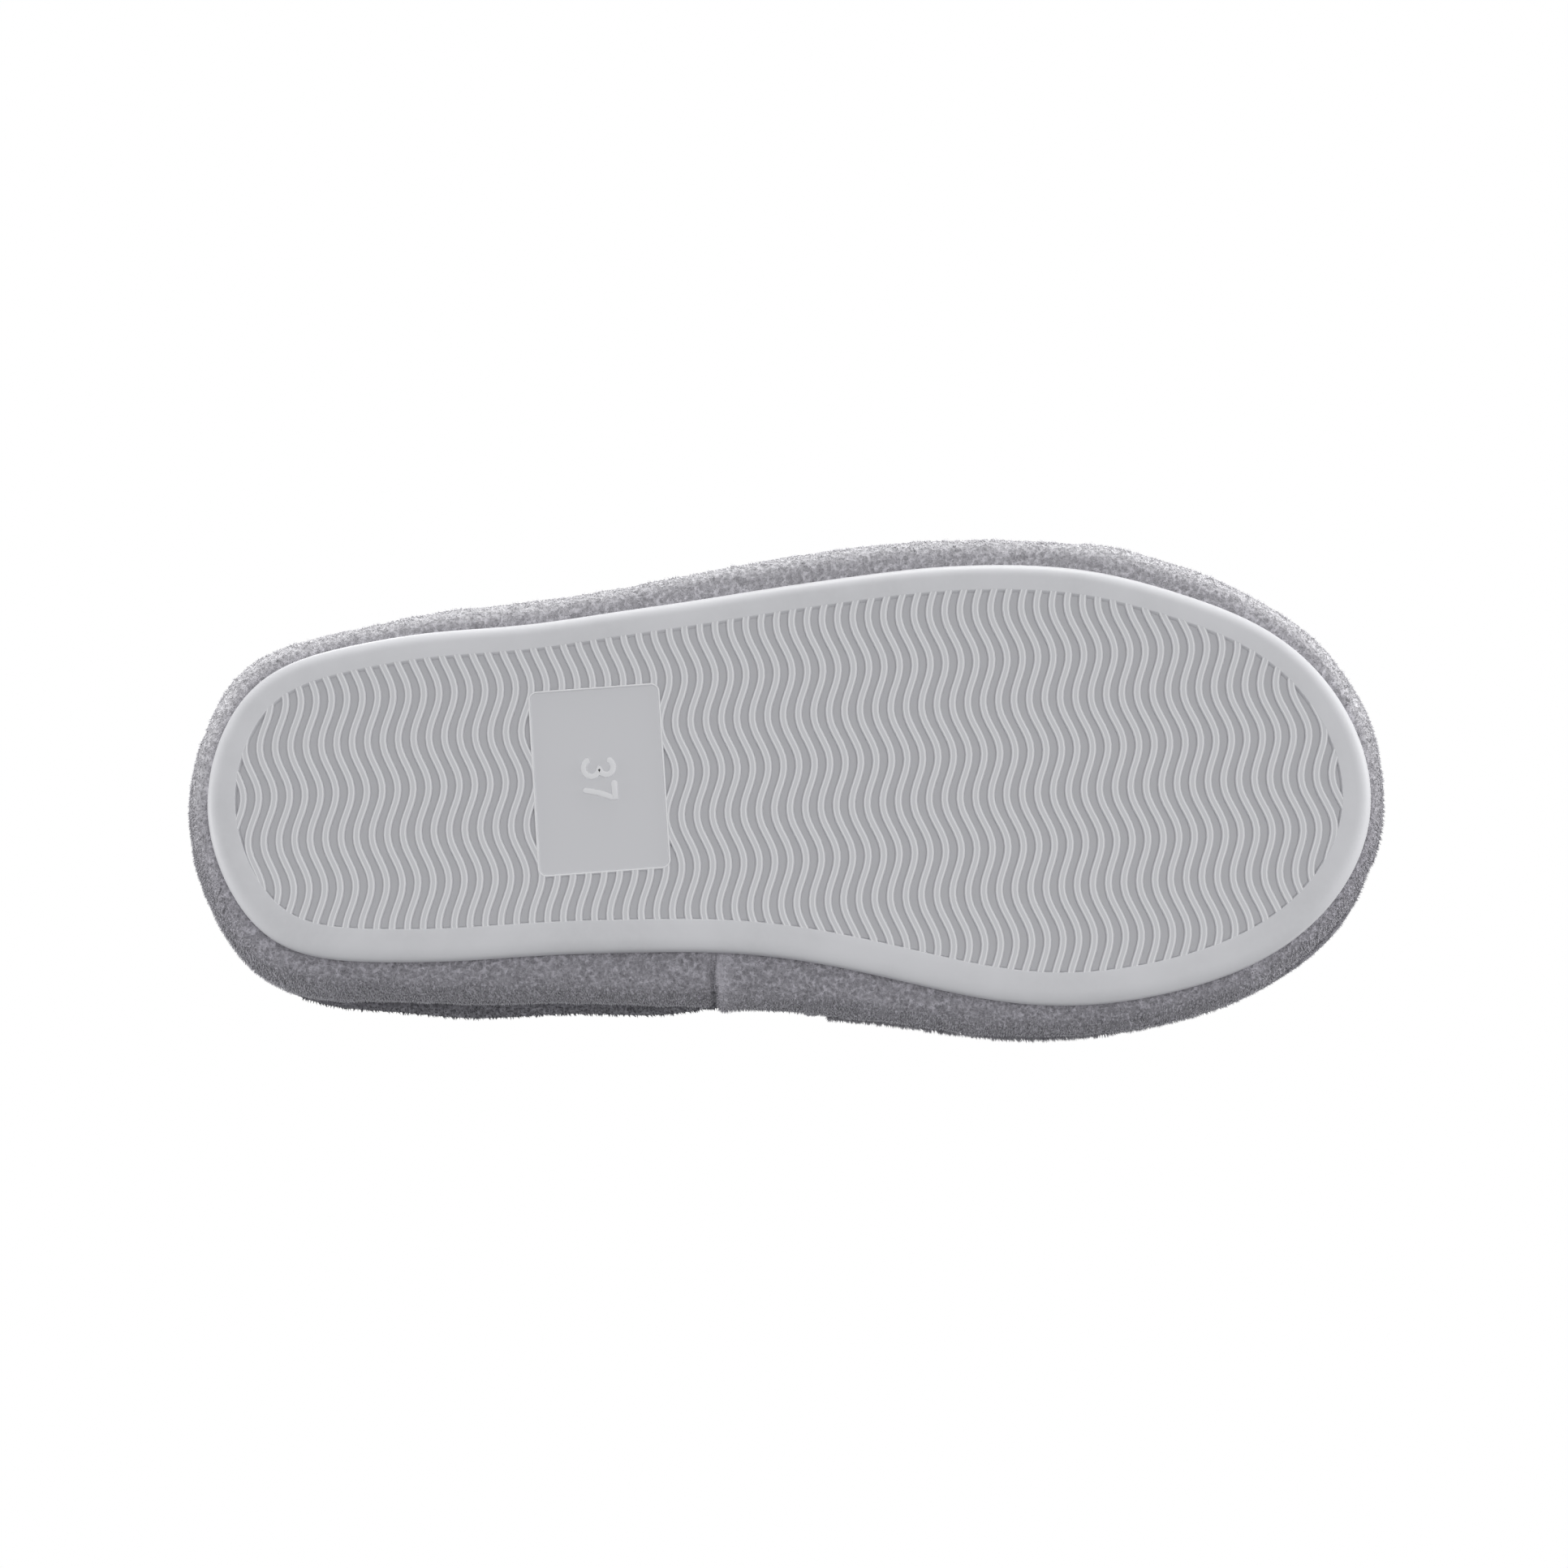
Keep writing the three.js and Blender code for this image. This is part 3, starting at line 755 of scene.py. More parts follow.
def loft(name: str, rings: Array, closed_section: bool = False) -> bpy.types.Object:
    """A solid from stacked closed rings.

    Args:
        name: The piece's name.
        rings: Rings, points, coordinates; rings run upwards on an outer face.
        closed_section: Whether the last ring joins the first, as in a hoop.

    Returns:
        The object; where the section isn't closed, both ends are capped across the foot.
    """
    count, size = rings.shape[:2]
    step = np.arange(size)
    following = (step + 1) % size
    faces: list[Sequence[int]] = []
    for r in range(count if closed_section else count - 1):
        low, high = r * size, ((r + 1) % count) * size
        faces += np.stack([low + step, low + following, high + following, high + step], 1).tolist()
    if not closed_section:
        faces += cap_faces(size, 0, up=False)
        faces += cap_faces(size, (count - 1) * size, up=True)
    return new_object(name, rings.reshape(-1, 3), faces)


def cap_faces(size: int, first: int, up: bool) -> list[list[int]]:
    """Faces that close a ring, from one side of the foot to the other.

    Args:
        size: How many points the ring has.
        first: The index of its first point.
        up: Whether the faces look up.

    Returns:
        The faces.
    """
    start = size // 4 * 3
    faces = []
    for i in range(size // 2):
        right, left = (start + i) % size, (start - i) % size
        right_next, left_next = (start + i + 1) % size, (start - i - 1) % size
        corners = [right, right_next, left_next, left]
        face = [first + c for n, c in enumerate(corners) if c not in corners[:n]]
        if len(face) > 2:
            faces.append(face if up else face[::-1])
    return faces


def shade(piece: bpy.types.Object, material: bpy.types.Material) -> None:
    """Gives a piece its one material."""
    piece.data.materials.clear()
    piece.data.materials.append(material)


def settle(piece: bpy.types.Object, slot: Slot, *nodes: str) -> bpy.types.Object:
    """Hands a finished piece over to the frame.

    Args:
        piece: The piece.
        slot: The piece's material slot; not used.
        nodes: The frame pieces that it stands for.

    Returns:
        The piece.
    """
    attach(piece, BODY)
    if nodes:
        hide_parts(*nodes)
    stands_for = ", ".join(nodes) or "nothing"
    LOG.info("%s: %d faces, stands for %s", piece.name, len(piece.data.polygons), stands_for)
    return piece


class GeometryTree(Graph):
    """A geometry tree with named inputs, run once on a piece."""

    def __init__(self, name: str) -> None:
        """Makes an empty tree.

        Args:
            name: The tree's name.
        """
        super().__init__(bpy.data.node_groups.new(name, "GeometryNodeTree"))
        self.sockets: dict[str, Any] = {}
        self.tree.interface.new_socket("Geometry", in_out="INPUT", socket_type="NodeSocketGeometry")
        self.tree.interface.new_socket("Geometry", in_out="OUTPUT", socket_type="NodeSocketGeometry")
        self.source = self.add("NodeGroupInput")

    def give(self, kind: str, *names: str) -> list[Wire]:
        """Adds named inputs.

        Args:
            kind: Their type, such as Float, Int, Vector, Object or Material.
            names: Their names.

        Returns:
            The inputs as wires.
        """
        for name in names:
            self.sockets[name] = self.tree.interface.new_socket(
                name, in_out="INPUT", socket_type=f"NodeSocket{kind}")
        return [self.wire(self.source, name) for name in names]

    def mesh_of(self, thing: Wire) -> Wire:
        """The mesh of an object that is one of the inputs."""
        return self.wire(self.add("GeometryNodeObjectInfo", None, {"Object": thing}), "Geometry")

    def attribute(self, name: str) -> Wire:
        """A number that is stored at the points of the geometry."""
        return self.wire(self.add("GeometryNodeInputNamedAttribute", {"data_type": "FLOAT"}, {"Name": name}))

    def marked(self, geometry: Any, name: str) -> bpy.types.Node:
        """Geometry whose points all have a 1 stored under a name."""
        return self.add("GeometryNodeStoreNamedAttribute", {"data_type": "FLOAT"}, {
            "Geometry": geometry, "Name": name, "Value": 1.0})

    def finish(self, geometry: Any, material: Wire) -> "GeometryTree":
        """Ends the tree in real geometry with a material.

        Args:
            geometry: The geometry, which may hold instances.
            material: The material.

        Returns:
            The tree.
        """
        real = self.add("GeometryNodeRealizeInstances", None, {"Geometry": geometry})
        dressed = self.add("GeometryNodeSetMaterial", None, {"Geometry": real, "Material": material})
        self.add("NodeGroupOutput", None, {"Geometry": dressed})
        return self

    def run(self, piece: bpy.types.Object, values: dict[str, Any], name: str) -> bpy.types.Object:
        """Runs the tree on a piece and keeps the result as a plain mesh.

        Args:
            piece: The piece that the tree starts from.
            values: A value for each named input.
            name: The result's name.

        Returns:
            The result, as a new object.
        """
        modifier = piece.modifiers.new("tree", "NODES")
        modifier.node_group = self.tree
        for key, value in values.items():
            modifier[self.sockets[key].identifier] = value
        bpy.context.view_layer.update()
        evaluated = piece.evaluated_get(bpy.context.evaluated_depsgraph_get())
        mesh = bpy.data.meshes.new_from_object(evaluated)
        piece.modifiers.remove(modifier)
        mesh.name = name
        return placed(name, mesh)


# ---- outsole -------------------------------------------------------------------------------------
@dataclass
class Outsole:
    """The moulded rubber sole: rounded rim, smooth border, wavy cross ribs and a plain size plate."""

    last: Last
    finish: MouldedRubber = field(default_factory=MouldedRubber)
    border: float = 6.3 * MM
    border_flat: float = 1.2 * MM
    rim_out: float = 3.2 * MM
    rim_up: float = 2.7 * MM
    shoulder: Sequence[tuple[float, float]] = ((0.0, 0.6 * MM), (0.25 * MM, 0.15 * MM), (0.8 * MM, 0.0))
    lip: float = 0.3 * MM
    wall_slope: float = 0.35 * MM
    depth: float = 0.9 * MM
    pitch: float = 3.29 * MM
    rib_top: float = 1.64 * MM
    rib_foot: float = 1.74 * MM
    rib_round: float = 0.36 * MM
    rib_sink: float = 0.03 * MM
    rib_dish: float = 0.12 * MM
    wave_length: float = 20.7 * MM
    wave_height: float = 1.36 * MM
    wave_crest: float = -5.8 * MM
    tread_drift: float = 0.012
    plate_size: tuple[float, float] = (41.0 * MM, 28.3 * MM)
    plate_corner: float = 1.9 * MM
    plate_back: float = 39.7 * MM
    plate_across: float = -5.3 * MM
    plate_face: float = 0.4 * MM
    digit_size: tuple[float, float] = (5.0 * MM, 7.6 * MM)
    digit_gap: float = 0.25 * MM
    digit_stroke: float = 1.3 * MM
    digit_cap: float = 0.55
    digit_cap_width: float = 0.45
    centre_shift: float = 1.35 * MM
    corner_points: int = 6
    points: int = 480
    rib_steps: int = 78
    sharp_from: float = 38.0

    @property
    def centre(self) -> tuple[float, float]:
        """The point of the sole that the tread is laid out from."""
        low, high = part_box("outsole")
        return (low.x + high.x) / 2 - self.centre_shift, (low.y + high.y) / 2

    def base(self) -> bpy.types.Object:
        """The slab: border, rim and side, with a sunk field for the ribs.

        Returns:
            The slab; its field's floor is marked as pocket.
        """
        outline, normals = self.last.outline(self.points)
        top = self.last.sole_top
        rows = [(-self.border - self.wall_slope, self.depth), (-self.border, self.lip)]
        rows += [(-self.border + self.lip * (1 - math.cos(a)), self.lip * (1 - math.sin(a)))
                 for a in np.radians([30, 60, 90])]
        rows += [(-self.rim_out - self.border_flat, 0.0)]
        rows += [(-self.rim_out * (1 - math.sin(a)), self.rim_up * (1 - math.cos(a)))
                 for a in np.radians(np.linspace(0, 90, 10))]
        rows += [(-inside, top - below) for inside, below in self.shoulder]
        slab = loft("outsole", stack(outline, normals, rows))
        mark(slab, "pocket", np.arange(len(slab.data.vertices)) < self.points)
        return slab

    def field_block(self) -> bpy.types.Object:
        """A block with the field's outline, which the ribs are trimmed to.

        Returns:
            The block.
        """
        outline, normals = self.last.outline(self.points)
        edge = self.lip * 0.6 - self.border
        return loft("field_block", stack(outline, normals, [(edge, -2 * MM), (edge, 3 * MM)]))

    def plate_outline(self, shrink: float) -> Array:
        """The plate's rounded outline, counter-clockwise.

        Args:
            shrink: How far inside the plate's edge it runs.

        Returns:
            Its points in the ground plane.
        """
        cx, cy = self.centre
        cx, cy = cx + self.plate_across, cy + self.plate_back
        half = np.array(self.plate_size) / 2 - shrink
        radius = max(self.plate_corner - shrink, 0.3 * MM)
        points = []
        for quarter, (sx, sy) in enumerate([(1, 1), (-1, 1), (-1, -1), (1, -1)]):
            for angle in np.linspace(quarter, quarter + 1, self.corner_points) * math.pi / 2:
                points.append((cx + sx * (half[0] - radius) + radius * math.cos(angle),
                               cy + sy * (half[1] - radius) + radius * math.sin(angle)))
        return np.array(points)

    def plate_block(self, name: str, rows: Iterable[tuple[float, float]]) -> bpy.types.Object:
        """A solid with the plate's outline.

        Args:
            name: Its name.
            rows: How far inside the plate's edge and how high each ring is, upwards.

        Returns:
            The solid.
        """
        outlines = [(self.plate_outline(shrink), z) for shrink, z in rows]
        return loft(name, np.array([np.column_stack([line, np.full(len(line), z)]) for line, z in outlines]))

    def plate(self) -> bpy.types.Object:
        """The size plate: a raised lip round a flat face.

        Returns:
            The plate.
        """
        face = self.plate_face
        rows = [(0.0, self.depth + 0.2 * MM), (0.0, 0.22 * MM), (0.08 * MM, 0.08 * MM),
                (0.22 * MM, 0.02 * MM), (0.36 * MM, 0.05 * MM), (0.5 * MM, face * 0.85),
                (0.62 * MM, face), (0.7 * MM, face), (1.5 * MM, face)]
        return self.plate_block("size_plate", rows[::-1])

    def digit_strokes(self) -> list[Array]:
        """The centre lines of a plain three and seven.

        Returns:
            One list of points for each stroke, in the ground plane.
        """
        cx, cy = self.centre
        wide, tall = self.digit_size
        bowl = tall / 4
        foot = cy + self.plate_back + tall / 2 - self.digit_stroke / 2
        left = cx + self.plate_across - wide - self.digit_gap / 2 + self.digit_stroke / 2
        turn = np.radians(np.linspace(155, -90, 16))
        low_turn = np.radians(np.linspace(90, -155, 16))
        middle = left + wide - self.digit_stroke - bowl
        reach = tall - self.digit_stroke
        small, large = reach * 0.235, reach * 0.265
        upper = np.column_stack([middle + bowl * 0.9 * np.cos(turn),
                                 foot - reach + small - small * np.sin(turn)])
        lower = np.column_stack([middle + bowl * np.cos(low_turn), foot - large - large * np.sin(low_turn)])
        start = left + wide + self.digit_gap
        bar = np.array([(start, foot - reach), (start + wide - self.digit_stroke, foot - reach)])
        share = np.linspace(0, 1, 12)[:, None]
        ends = np.array([(start + wide - self.digit_stroke, foot - reach), (start + wide * 0.28, foot)])
        stem = ends[0] * (1 - share) + ends[1] * share
        stem[:, 0] -= 0.35 * MM * np.sin(share[:, 0] * math.pi)
        return [np.vstack([upper, lower[1:]]), np.vstack([bar, stem[1:]])]

    def digits(self) -> bpy.types.Object:
        """The size number: plain even strokes with rounded tops, raised from the plate.

        Returns:
            The number.
        """
        half, foot = self.digit_stroke / 2, self.plate_face + 0.1 * MM
        right = [(0.5, 0.0), (0.8, 0.06 * MM), (0.95, 0.22 * MM), (1.0, foot)]
        sides = [(-s, z) for s, z in reversed(right)] + right
        points, faces = [], []
        for line in self.digit_strokes():
            along = np.gradient(line, axis=0)
            along /= np.linalg.norm(along, axis=1, keepdims=True)
            cap = half * self.digit_cap
            ends = [line[0] - along[0] * cap, *line, line[-1] + along[-1] * cap]
            ways = [along[0], *along, along[-1]]
            faces += tube_faces(len(ends), len(sides), len(points))
            for place, (spot, way) in enumerate(zip(ends, ways)):
                narrow = self.digit_cap_width if place in (0, len(ends) - 1) else 1.0
                side = np.array([way[1], -way[0]])
                points += [(*(spot + side * s * half * narrow), z) for s, z in sides]
        piece = new_object("size_number", np.array(points), faces)
        turn_out(piece)
        return piece

    @staticmethod
    def tread_tree() -> GeometryTree:
        """A tree that adds wavy ribs, trimmed to the field and to the plate, to the slab.

        Returns:
            The tree.
        """
        tree = GeometryTree("wavy_tread")
        rows, steps = tree.give("Int", "Rows", "Steps")
        pitch, reach, length, height, crest, drift = tree.give(
            "Float", "Pitch", "Reach", "Wave length", "Wave height", "Crest", "Drift")
        section, block, hole, plate, number = tree.give(
            "Object", "Section", "Field", "Plate hole", "Plate", "Number")
        (origin,), (material,) = tree.give("Vector", "Origin"), tree.give("Material", "Material")
        starts = tree.add("GeometryNodeMeshLine", {"mode": "OFFSET"}, {
            "Count": rows, "Start Location": tree.xyz(Y=(rows - 1) * pitch * -0.5),
            "Offset": tree.xyz(Y=pitch)})
        line = tree.add("GeometryNodeCurvePrimitiveLine", None, {
            "Start": tree.xyz(X=reach * -1.0), "End": tree.xyz(X=reach)})
        fine = tree.add("GeometryNodeResampleCurve", None, {"Curve": line, "Count": steps})
        spread = tree.add("GeometryNodeInstanceOnPoints", None, {"Points": starts, "Instance": fine})
        real = tree.add("GeometryNodeRealizeInstances", None, {"Geometry": spread})
        spot = tree.add("ShaderNodeSeparateXYZ", None, {"Vector": tree.add("GeometryNodeInputPosition")})
        phase = (tree.wire(spot, "X") - crest + tree.wire(spot, "Y") * drift) / length * (2 * math.pi)
        swing = tree.xyz(Y=phase.cos() * height * -1.0)
        wavy = tree.add("GeometryNodeSetPosition", None, {
            "Geometry": real, "Offset": tree.vector("ADD", swing, origin)})
        level = tree.add("GeometryNodeSetCurveNormal", {"mode": "Z_UP"}, {"Curve": wavy})
        profile = tree.add("GeometryNodeMeshToCurve", None, {"Mesh": tree.mesh_of(section)})
        bars = tree.add("GeometryNodeCurveToMesh", None, {
            "Curve": level, "Profile Curve": profile, "Fill Caps": True})
        inside = tree.add("GeometryNodeMeshBoolean", {"operation": "INTERSECT", "solver": "MANIFOLD"})
        for part in (bars.outputs[0], tree.mesh_of(block).socket):
            tree.tree.links.new(part, tree.named(inside.inputs, "Mesh"))
        cleared = tree.add("GeometryNodeMeshBoolean", {"operation": "DIFFERENCE", "solver": "MANIFOLD"}, {
            "Mesh 1": inside, "Mesh 2": tree.mesh_of(hole)})
        joined = tree.add("GeometryNodeJoinGeometry")
        # The ribs and the plate are marked so that their edges take a painted highlight; the number is marked
        # for its own painted highlight.
        for part in (tree.marked(cleared, "wear"), tree.marked(tree.mesh_of(plate), "wear"),
                     tree.marked(tree.mesh_of(number), "raised"), tree.source):
            tree.feed(joined, 0, part)
        return tree.finish(joined, material)

    def rib_section(self) -> bpy.types.Object:
        """The rib's cross-section, x across the rib and y up, with a dished top.

        Returns:
            The section as a closed path.
        """
        half, foot, r = self.rib_top / 2, self.rib_foot / 2, self.rib_round
        right = [(half - r + r * math.sin(a), self.rib_sink + r * (1 - math.cos(a)))
                 for a in np.radians([0, 30, 60, 90])] + [(foot, self.depth + 0.15 * MM)]
        loop = [(0.0, self.rib_sink + self.rib_dish), *right, *[(-x, y) for x, y in reversed(right)]]
        return new_path("rib_section", [(x, -y, 0.0) for x, y in reversed(loop)], closed=True)

    def build(self) -> list[bpy.types.Object]:
        """Makes the whole outsole as one piece.

        Returns:
            The outsole, as a list of one.
        """
        slab, block, section = self.base(), self.field_block(), self.rib_section()
        hole = self.plate_block("plate_hole", [(0.1 * MM, -3 * MM), (0.1 * MM, 4 * MM)])
        low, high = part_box("outsole")
        cx, cy = self.centre
        plate, digits = self.plate(), self.digits()
        whole = self.tread_tree().run(slab, {
            "Rows": 2 * int((high.y - low.y) / 2 / self.pitch) + 1, "Pitch": self.pitch,
            "Reach": (high.x - low.x) / 2 + 4 * MM, "Steps": self.rib_steps,
            "Wave length": self.wave_length, "Wave height": self.wave_height, "Crest": self.wave_crest,
            "Drift": self.tread_drift, "Origin": (cx, cy + self.pitch / 2, 0.0), "Section": section,
            "Field": block, "Plate hole": hole, "Plate": plate, "Number": digits,
            "Material": self.finish.make()}, "outsole_moulding")
        for helper in (slab, block, section, hole, plate, digits):
            bpy.data.objects.remove(helper)
        round_off(whole)
        whole.data.set_sharp_from_angle(angle=math.radians(self.sharp_from))
        return [settle(whole, self.finish.slot, "outsole")]


def turn_out(piece: bpy.types.Object) -> None:
    """Merges a piece's doubled points and turns its faces outwards.

    Args:
        piece: The piece.
    """
    work = bmesh.new()
    work.from_mesh(piece.data)
    bmesh.ops.remove_doubles(work, verts=work.verts, dist=1e-6)
    bmesh.ops.recalc_face_normals(work, faces=work.faces)
    work.to_mesh(piece.data)
    work.free()


# ---- soft shapes ---------------------------------------------------------------------------------
def lumps(points: Array, size: float, seed: float) -> Array:
    """Soft random unevenness at points.

    Args:
        points: The points.
        size: The distance between lumps, in metres.
        seed: Chooses the pattern.

    Returns:
        A value from about -1 to 1 for each point.
    """
    shift = Vector((seed, seed * 1.7, -seed))
    return np.array([noise.noise(Vector(p) / size + shift) for p in points])


def uneven(points: Array, layers: LumpLayers) -> Array:
    """The sum of layers of lumps.

    Args:
        points: The points.
        layers: The size, seed and height of each layer's lumps.

    Returns:
        How far each point moves, in metres.
    """
    return sum(lumps(points, size, seed) * height for size, seed, height in layers)


def mesh_points(piece: bpy.types.Object) -> Array:
    """The points of a piece's mesh.

    Args:
        piece: The piece.

    Returns:
        One row for each point.
    """
    points = np.zeros(len(piece.data.vertices) * 3)
    piece.data.vertices.foreach_get("co", points)
    return points.reshape(-1, 3)


def swell(piece: bpy.types.Object, amount: Array) -> None:
    """Moves each point of a piece along its normal.

    Args:
        piece: The piece.
        amount: How far each point moves, in metres.
    """
    normals = np.zeros(len(piece.data.vertices) * 3)
    piece.data.vertices.foreach_get("normal", normals)
    moved = mesh_points(piece) + normals.reshape(-1, 3) * amount[:, None]
    piece.data.vertices.foreach_set("co", moved.ravel())
    piece.data.update()


def mark(piece: bpy.types.Object, name: str, values: Array) -> None:
    """Stores a number at each point of a piece."""
    layer = piece.data.attributes.new(name, "FLOAT", "POINT")
    layer.data.foreach_set("value", np.asarray(values, np.float32))


def ease(low: float, high: float, value: Array) -> Array:
    """A smooth step from 0 at low to 1 at high."""
    share = np.clip((np.asarray(value) - low) / (high - low), 0, 1)
    return share * share * (3 - 2 * share)


def waist(outline: Array, first: float, last: float) -> Array:
    """Where an outline runs along the inner side of the waist and the heel.

    Args:
        outline: The outline's points.
        first: The x at which it starts to count.
        last: The y from which it fades out again.

    Returns:
        A value from 0 to 1 for each point.
    """
    x, y = outline.T
    return ease(first, 20 * MM, x) * ease(-4 * MM, 6 * MM, y) * (1 - ease(last, 100 * MM, y))


def inflate(piece: bpy.types.Object, held: Array, pressure: float, cap: float, frames: int = 18) -> None:
    """Puffs a closed piece up with a cloth simulation, and keeps the result.

    Args:
        piece: The piece.
        held: 1 at each point that stays where it is, and 0 at the others.
        pressure: The pressure inside.
        cap: The furthest that a point may move, in metres.
        frames: How many steps the simulation takes.
    """
    start = mesh_points(piece)
    group = piece.vertex_groups.new(name="held")
    group.add([int(i) for i in np.flatnonzero(held > 0.5)], 1.0, "REPLACE")
    cloth = piece.modifiers.new("cloth", "CLOTH")
    cloth.settings.use_pressure = True
    cloth.settings.uniform_pressure_force = pressure
    cloth.settings.vertex_group_mass = group.name
    cloth.settings.effector_weights.gravity = 0
    cloth.settings.quality = 4
    cloth.collision_settings.use_collision = False
    cloth.point_cache.frame_start, cloth.point_cache.frame_end = 1, frames
    scene = bpy.context.scene
    for step in range(1, frames + 1):
        scene.frame_set(step)
    evaluated = piece.evaluated_get(bpy.context.evaluated_depsgraph_get())
    points = np.zeros(len(start) * 3)
    evaluated.data.vertices.foreach_get("co", points)
    move = points.reshape(-1, 3) - start
    size = np.linalg.norm(move, axis=1, keepdims=True)
    move *= np.minimum(size, cap) / np.maximum(size, 1e-9)
    piece.modifiers.remove(cloth)
    piece.vertex_groups.remove(group)
    scene.frame_set(1)
    piece.data.vertices.foreach_set("co", (start + move).ravel())
    piece.data.update()
    LOG.info("%s: puffed up by %.1f mm at most", piece.name, float(np.minimum(size, cap).max()) / MM)


@dataclass
class Pile:
    """Fine fibres that stand on fleece and soften its outline."""

    material: bpy.types.Material
    density: float = 2.35e6
    length: float = 1.3 * MM
    width: float = 0.33 * MM
    curl: float = 3.6
    curl_size: float = 1.5 * MM
    lean: Sequence[float] = (0.0, 0.0, 1.9)
    spread: float = 0.3
    seed: int = 3

    def fibre(self) -> bpy.types.Object:
        """One fibre tuft: a three-sided spike, one unit long, whose tip is marked.

        Returns:
            The tuft.
        """
        ring = [(math.cos(a), math.sin(a), 0.0) for a in np.radians([90, 210, 330])]
        piece = new_object("fibre", np.array([*ring, (0, 0, 1.0)]),
                           [(2, 1, 0), (0, 1, 3), (1, 2, 3), (2, 0, 3)])
        mark(piece, "tip", np.array([0, 0, 0, 1]))
        return piece

    @staticmethod
    def tree() -> GeometryTree:
        """A tree that scatters fibres over a surface.

        Returns:
            The tree; it reads the attributes cover and curly.
        """
        tree = GeometryTree("pile")
        density, length, width, spread, curl, curl_scale = tree.give(
            "Float", "Density", "Length", "Width", "Spread", "Curl", "Curl scale")
        (lean,), (seed,) = tree.give("Vector", "Lean"), tree.give("Int", "Seed")
        (fibre,), (material,) = tree.give("Object", "Fibre"), tree.give("Material", "Material")
        scatter = tree.add("GeometryNodeDistributePointsOnFaces", {"distribute_method": "RANDOM"}, {
            "Mesh": tree.source, "Density": density * tree.attribute("cover"), "Seed": seed})
        stray = tree.add("FunctionNodeRandomValue", {"data_type": "FLOAT_VECTOR"}, {
            "Min": (-1.0, -1.0, -1.0), "Max": (1.0, 1.0, 1.0), "Seed": seed + 11})
        aim = tree.vector("ADD", tree.wire(scatter, "Normal"), lean)
        aim = tree.vector("ADD", aim, tree.vector("SCALE", stray, spread))
        place = tree.vector("MULTIPLY", tree.add("GeometryNodeInputPosition"), (1.0, 1.0, 0.3))
        swirl = tree.add("ShaderNodeTexNoise", None, {"Vector": place, "Scale": curl_scale, "Detail": 1.0})
        swirl = tree.vector("SUBTRACT", tree.wire(swirl, "Color"), (0.5, 0.5, 0.5))
        aim = tree.vector("ADD", aim, tree.vector("SCALE", swirl, curl * tree.attribute("curly")))
        turn = tree.add("FunctionNodeAlignRotationToVector", {"axis": "Z"}, {
            "Rotation": tree.wire(scatter, "Rotation"), "Vector": aim})
        size = tree.xyz(X=width * 0.5, Y=width * 0.5, Z=length)
        standing = tree.add("GeometryNodeInstanceOnPoints", None, {
            "Points": tree.wire(scatter, "Points"), "Instance": tree.mesh_of(fibre),
            "Rotation": turn, "Scale": size})
        return tree.finish(standing, material)

    def grow(self, ground: bpy.types.Object, cover: Array, name: str, slot: Slot) -> bpy.types.Object:
        """Grows the pile on a piece.

        Args:
            ground: The piece; its points may carry how much the pile curls, as curly.
            cover: How much pile each of its points has.
            name: The pile's name.
            slot: Its material slot.

        Returns:
            The pile as its own piece.
        """
        fibre = self.fibre()
        mark(ground, "cover", cover)
        if "curly" not in ground.data.attributes:
            mark(ground, "curly", np.ones(len(ground.data.vertices)))
        pile = self.tree().run(ground, {
            "Density": self.density, "Length": self.length, "Width": self.width, "Lean": tuple(self.lean),
            "Spread": self.spread, "Curl": self.curl, "Curl scale": 1 / self.curl_size,
            "Seed": self.seed, "Fibre": fibre, "Material": self.material}, name)
        bpy.data.objects.remove(fibre)
        ground.data.attributes.remove(ground.data.attributes["cover"])
        return settle(pile, slot)


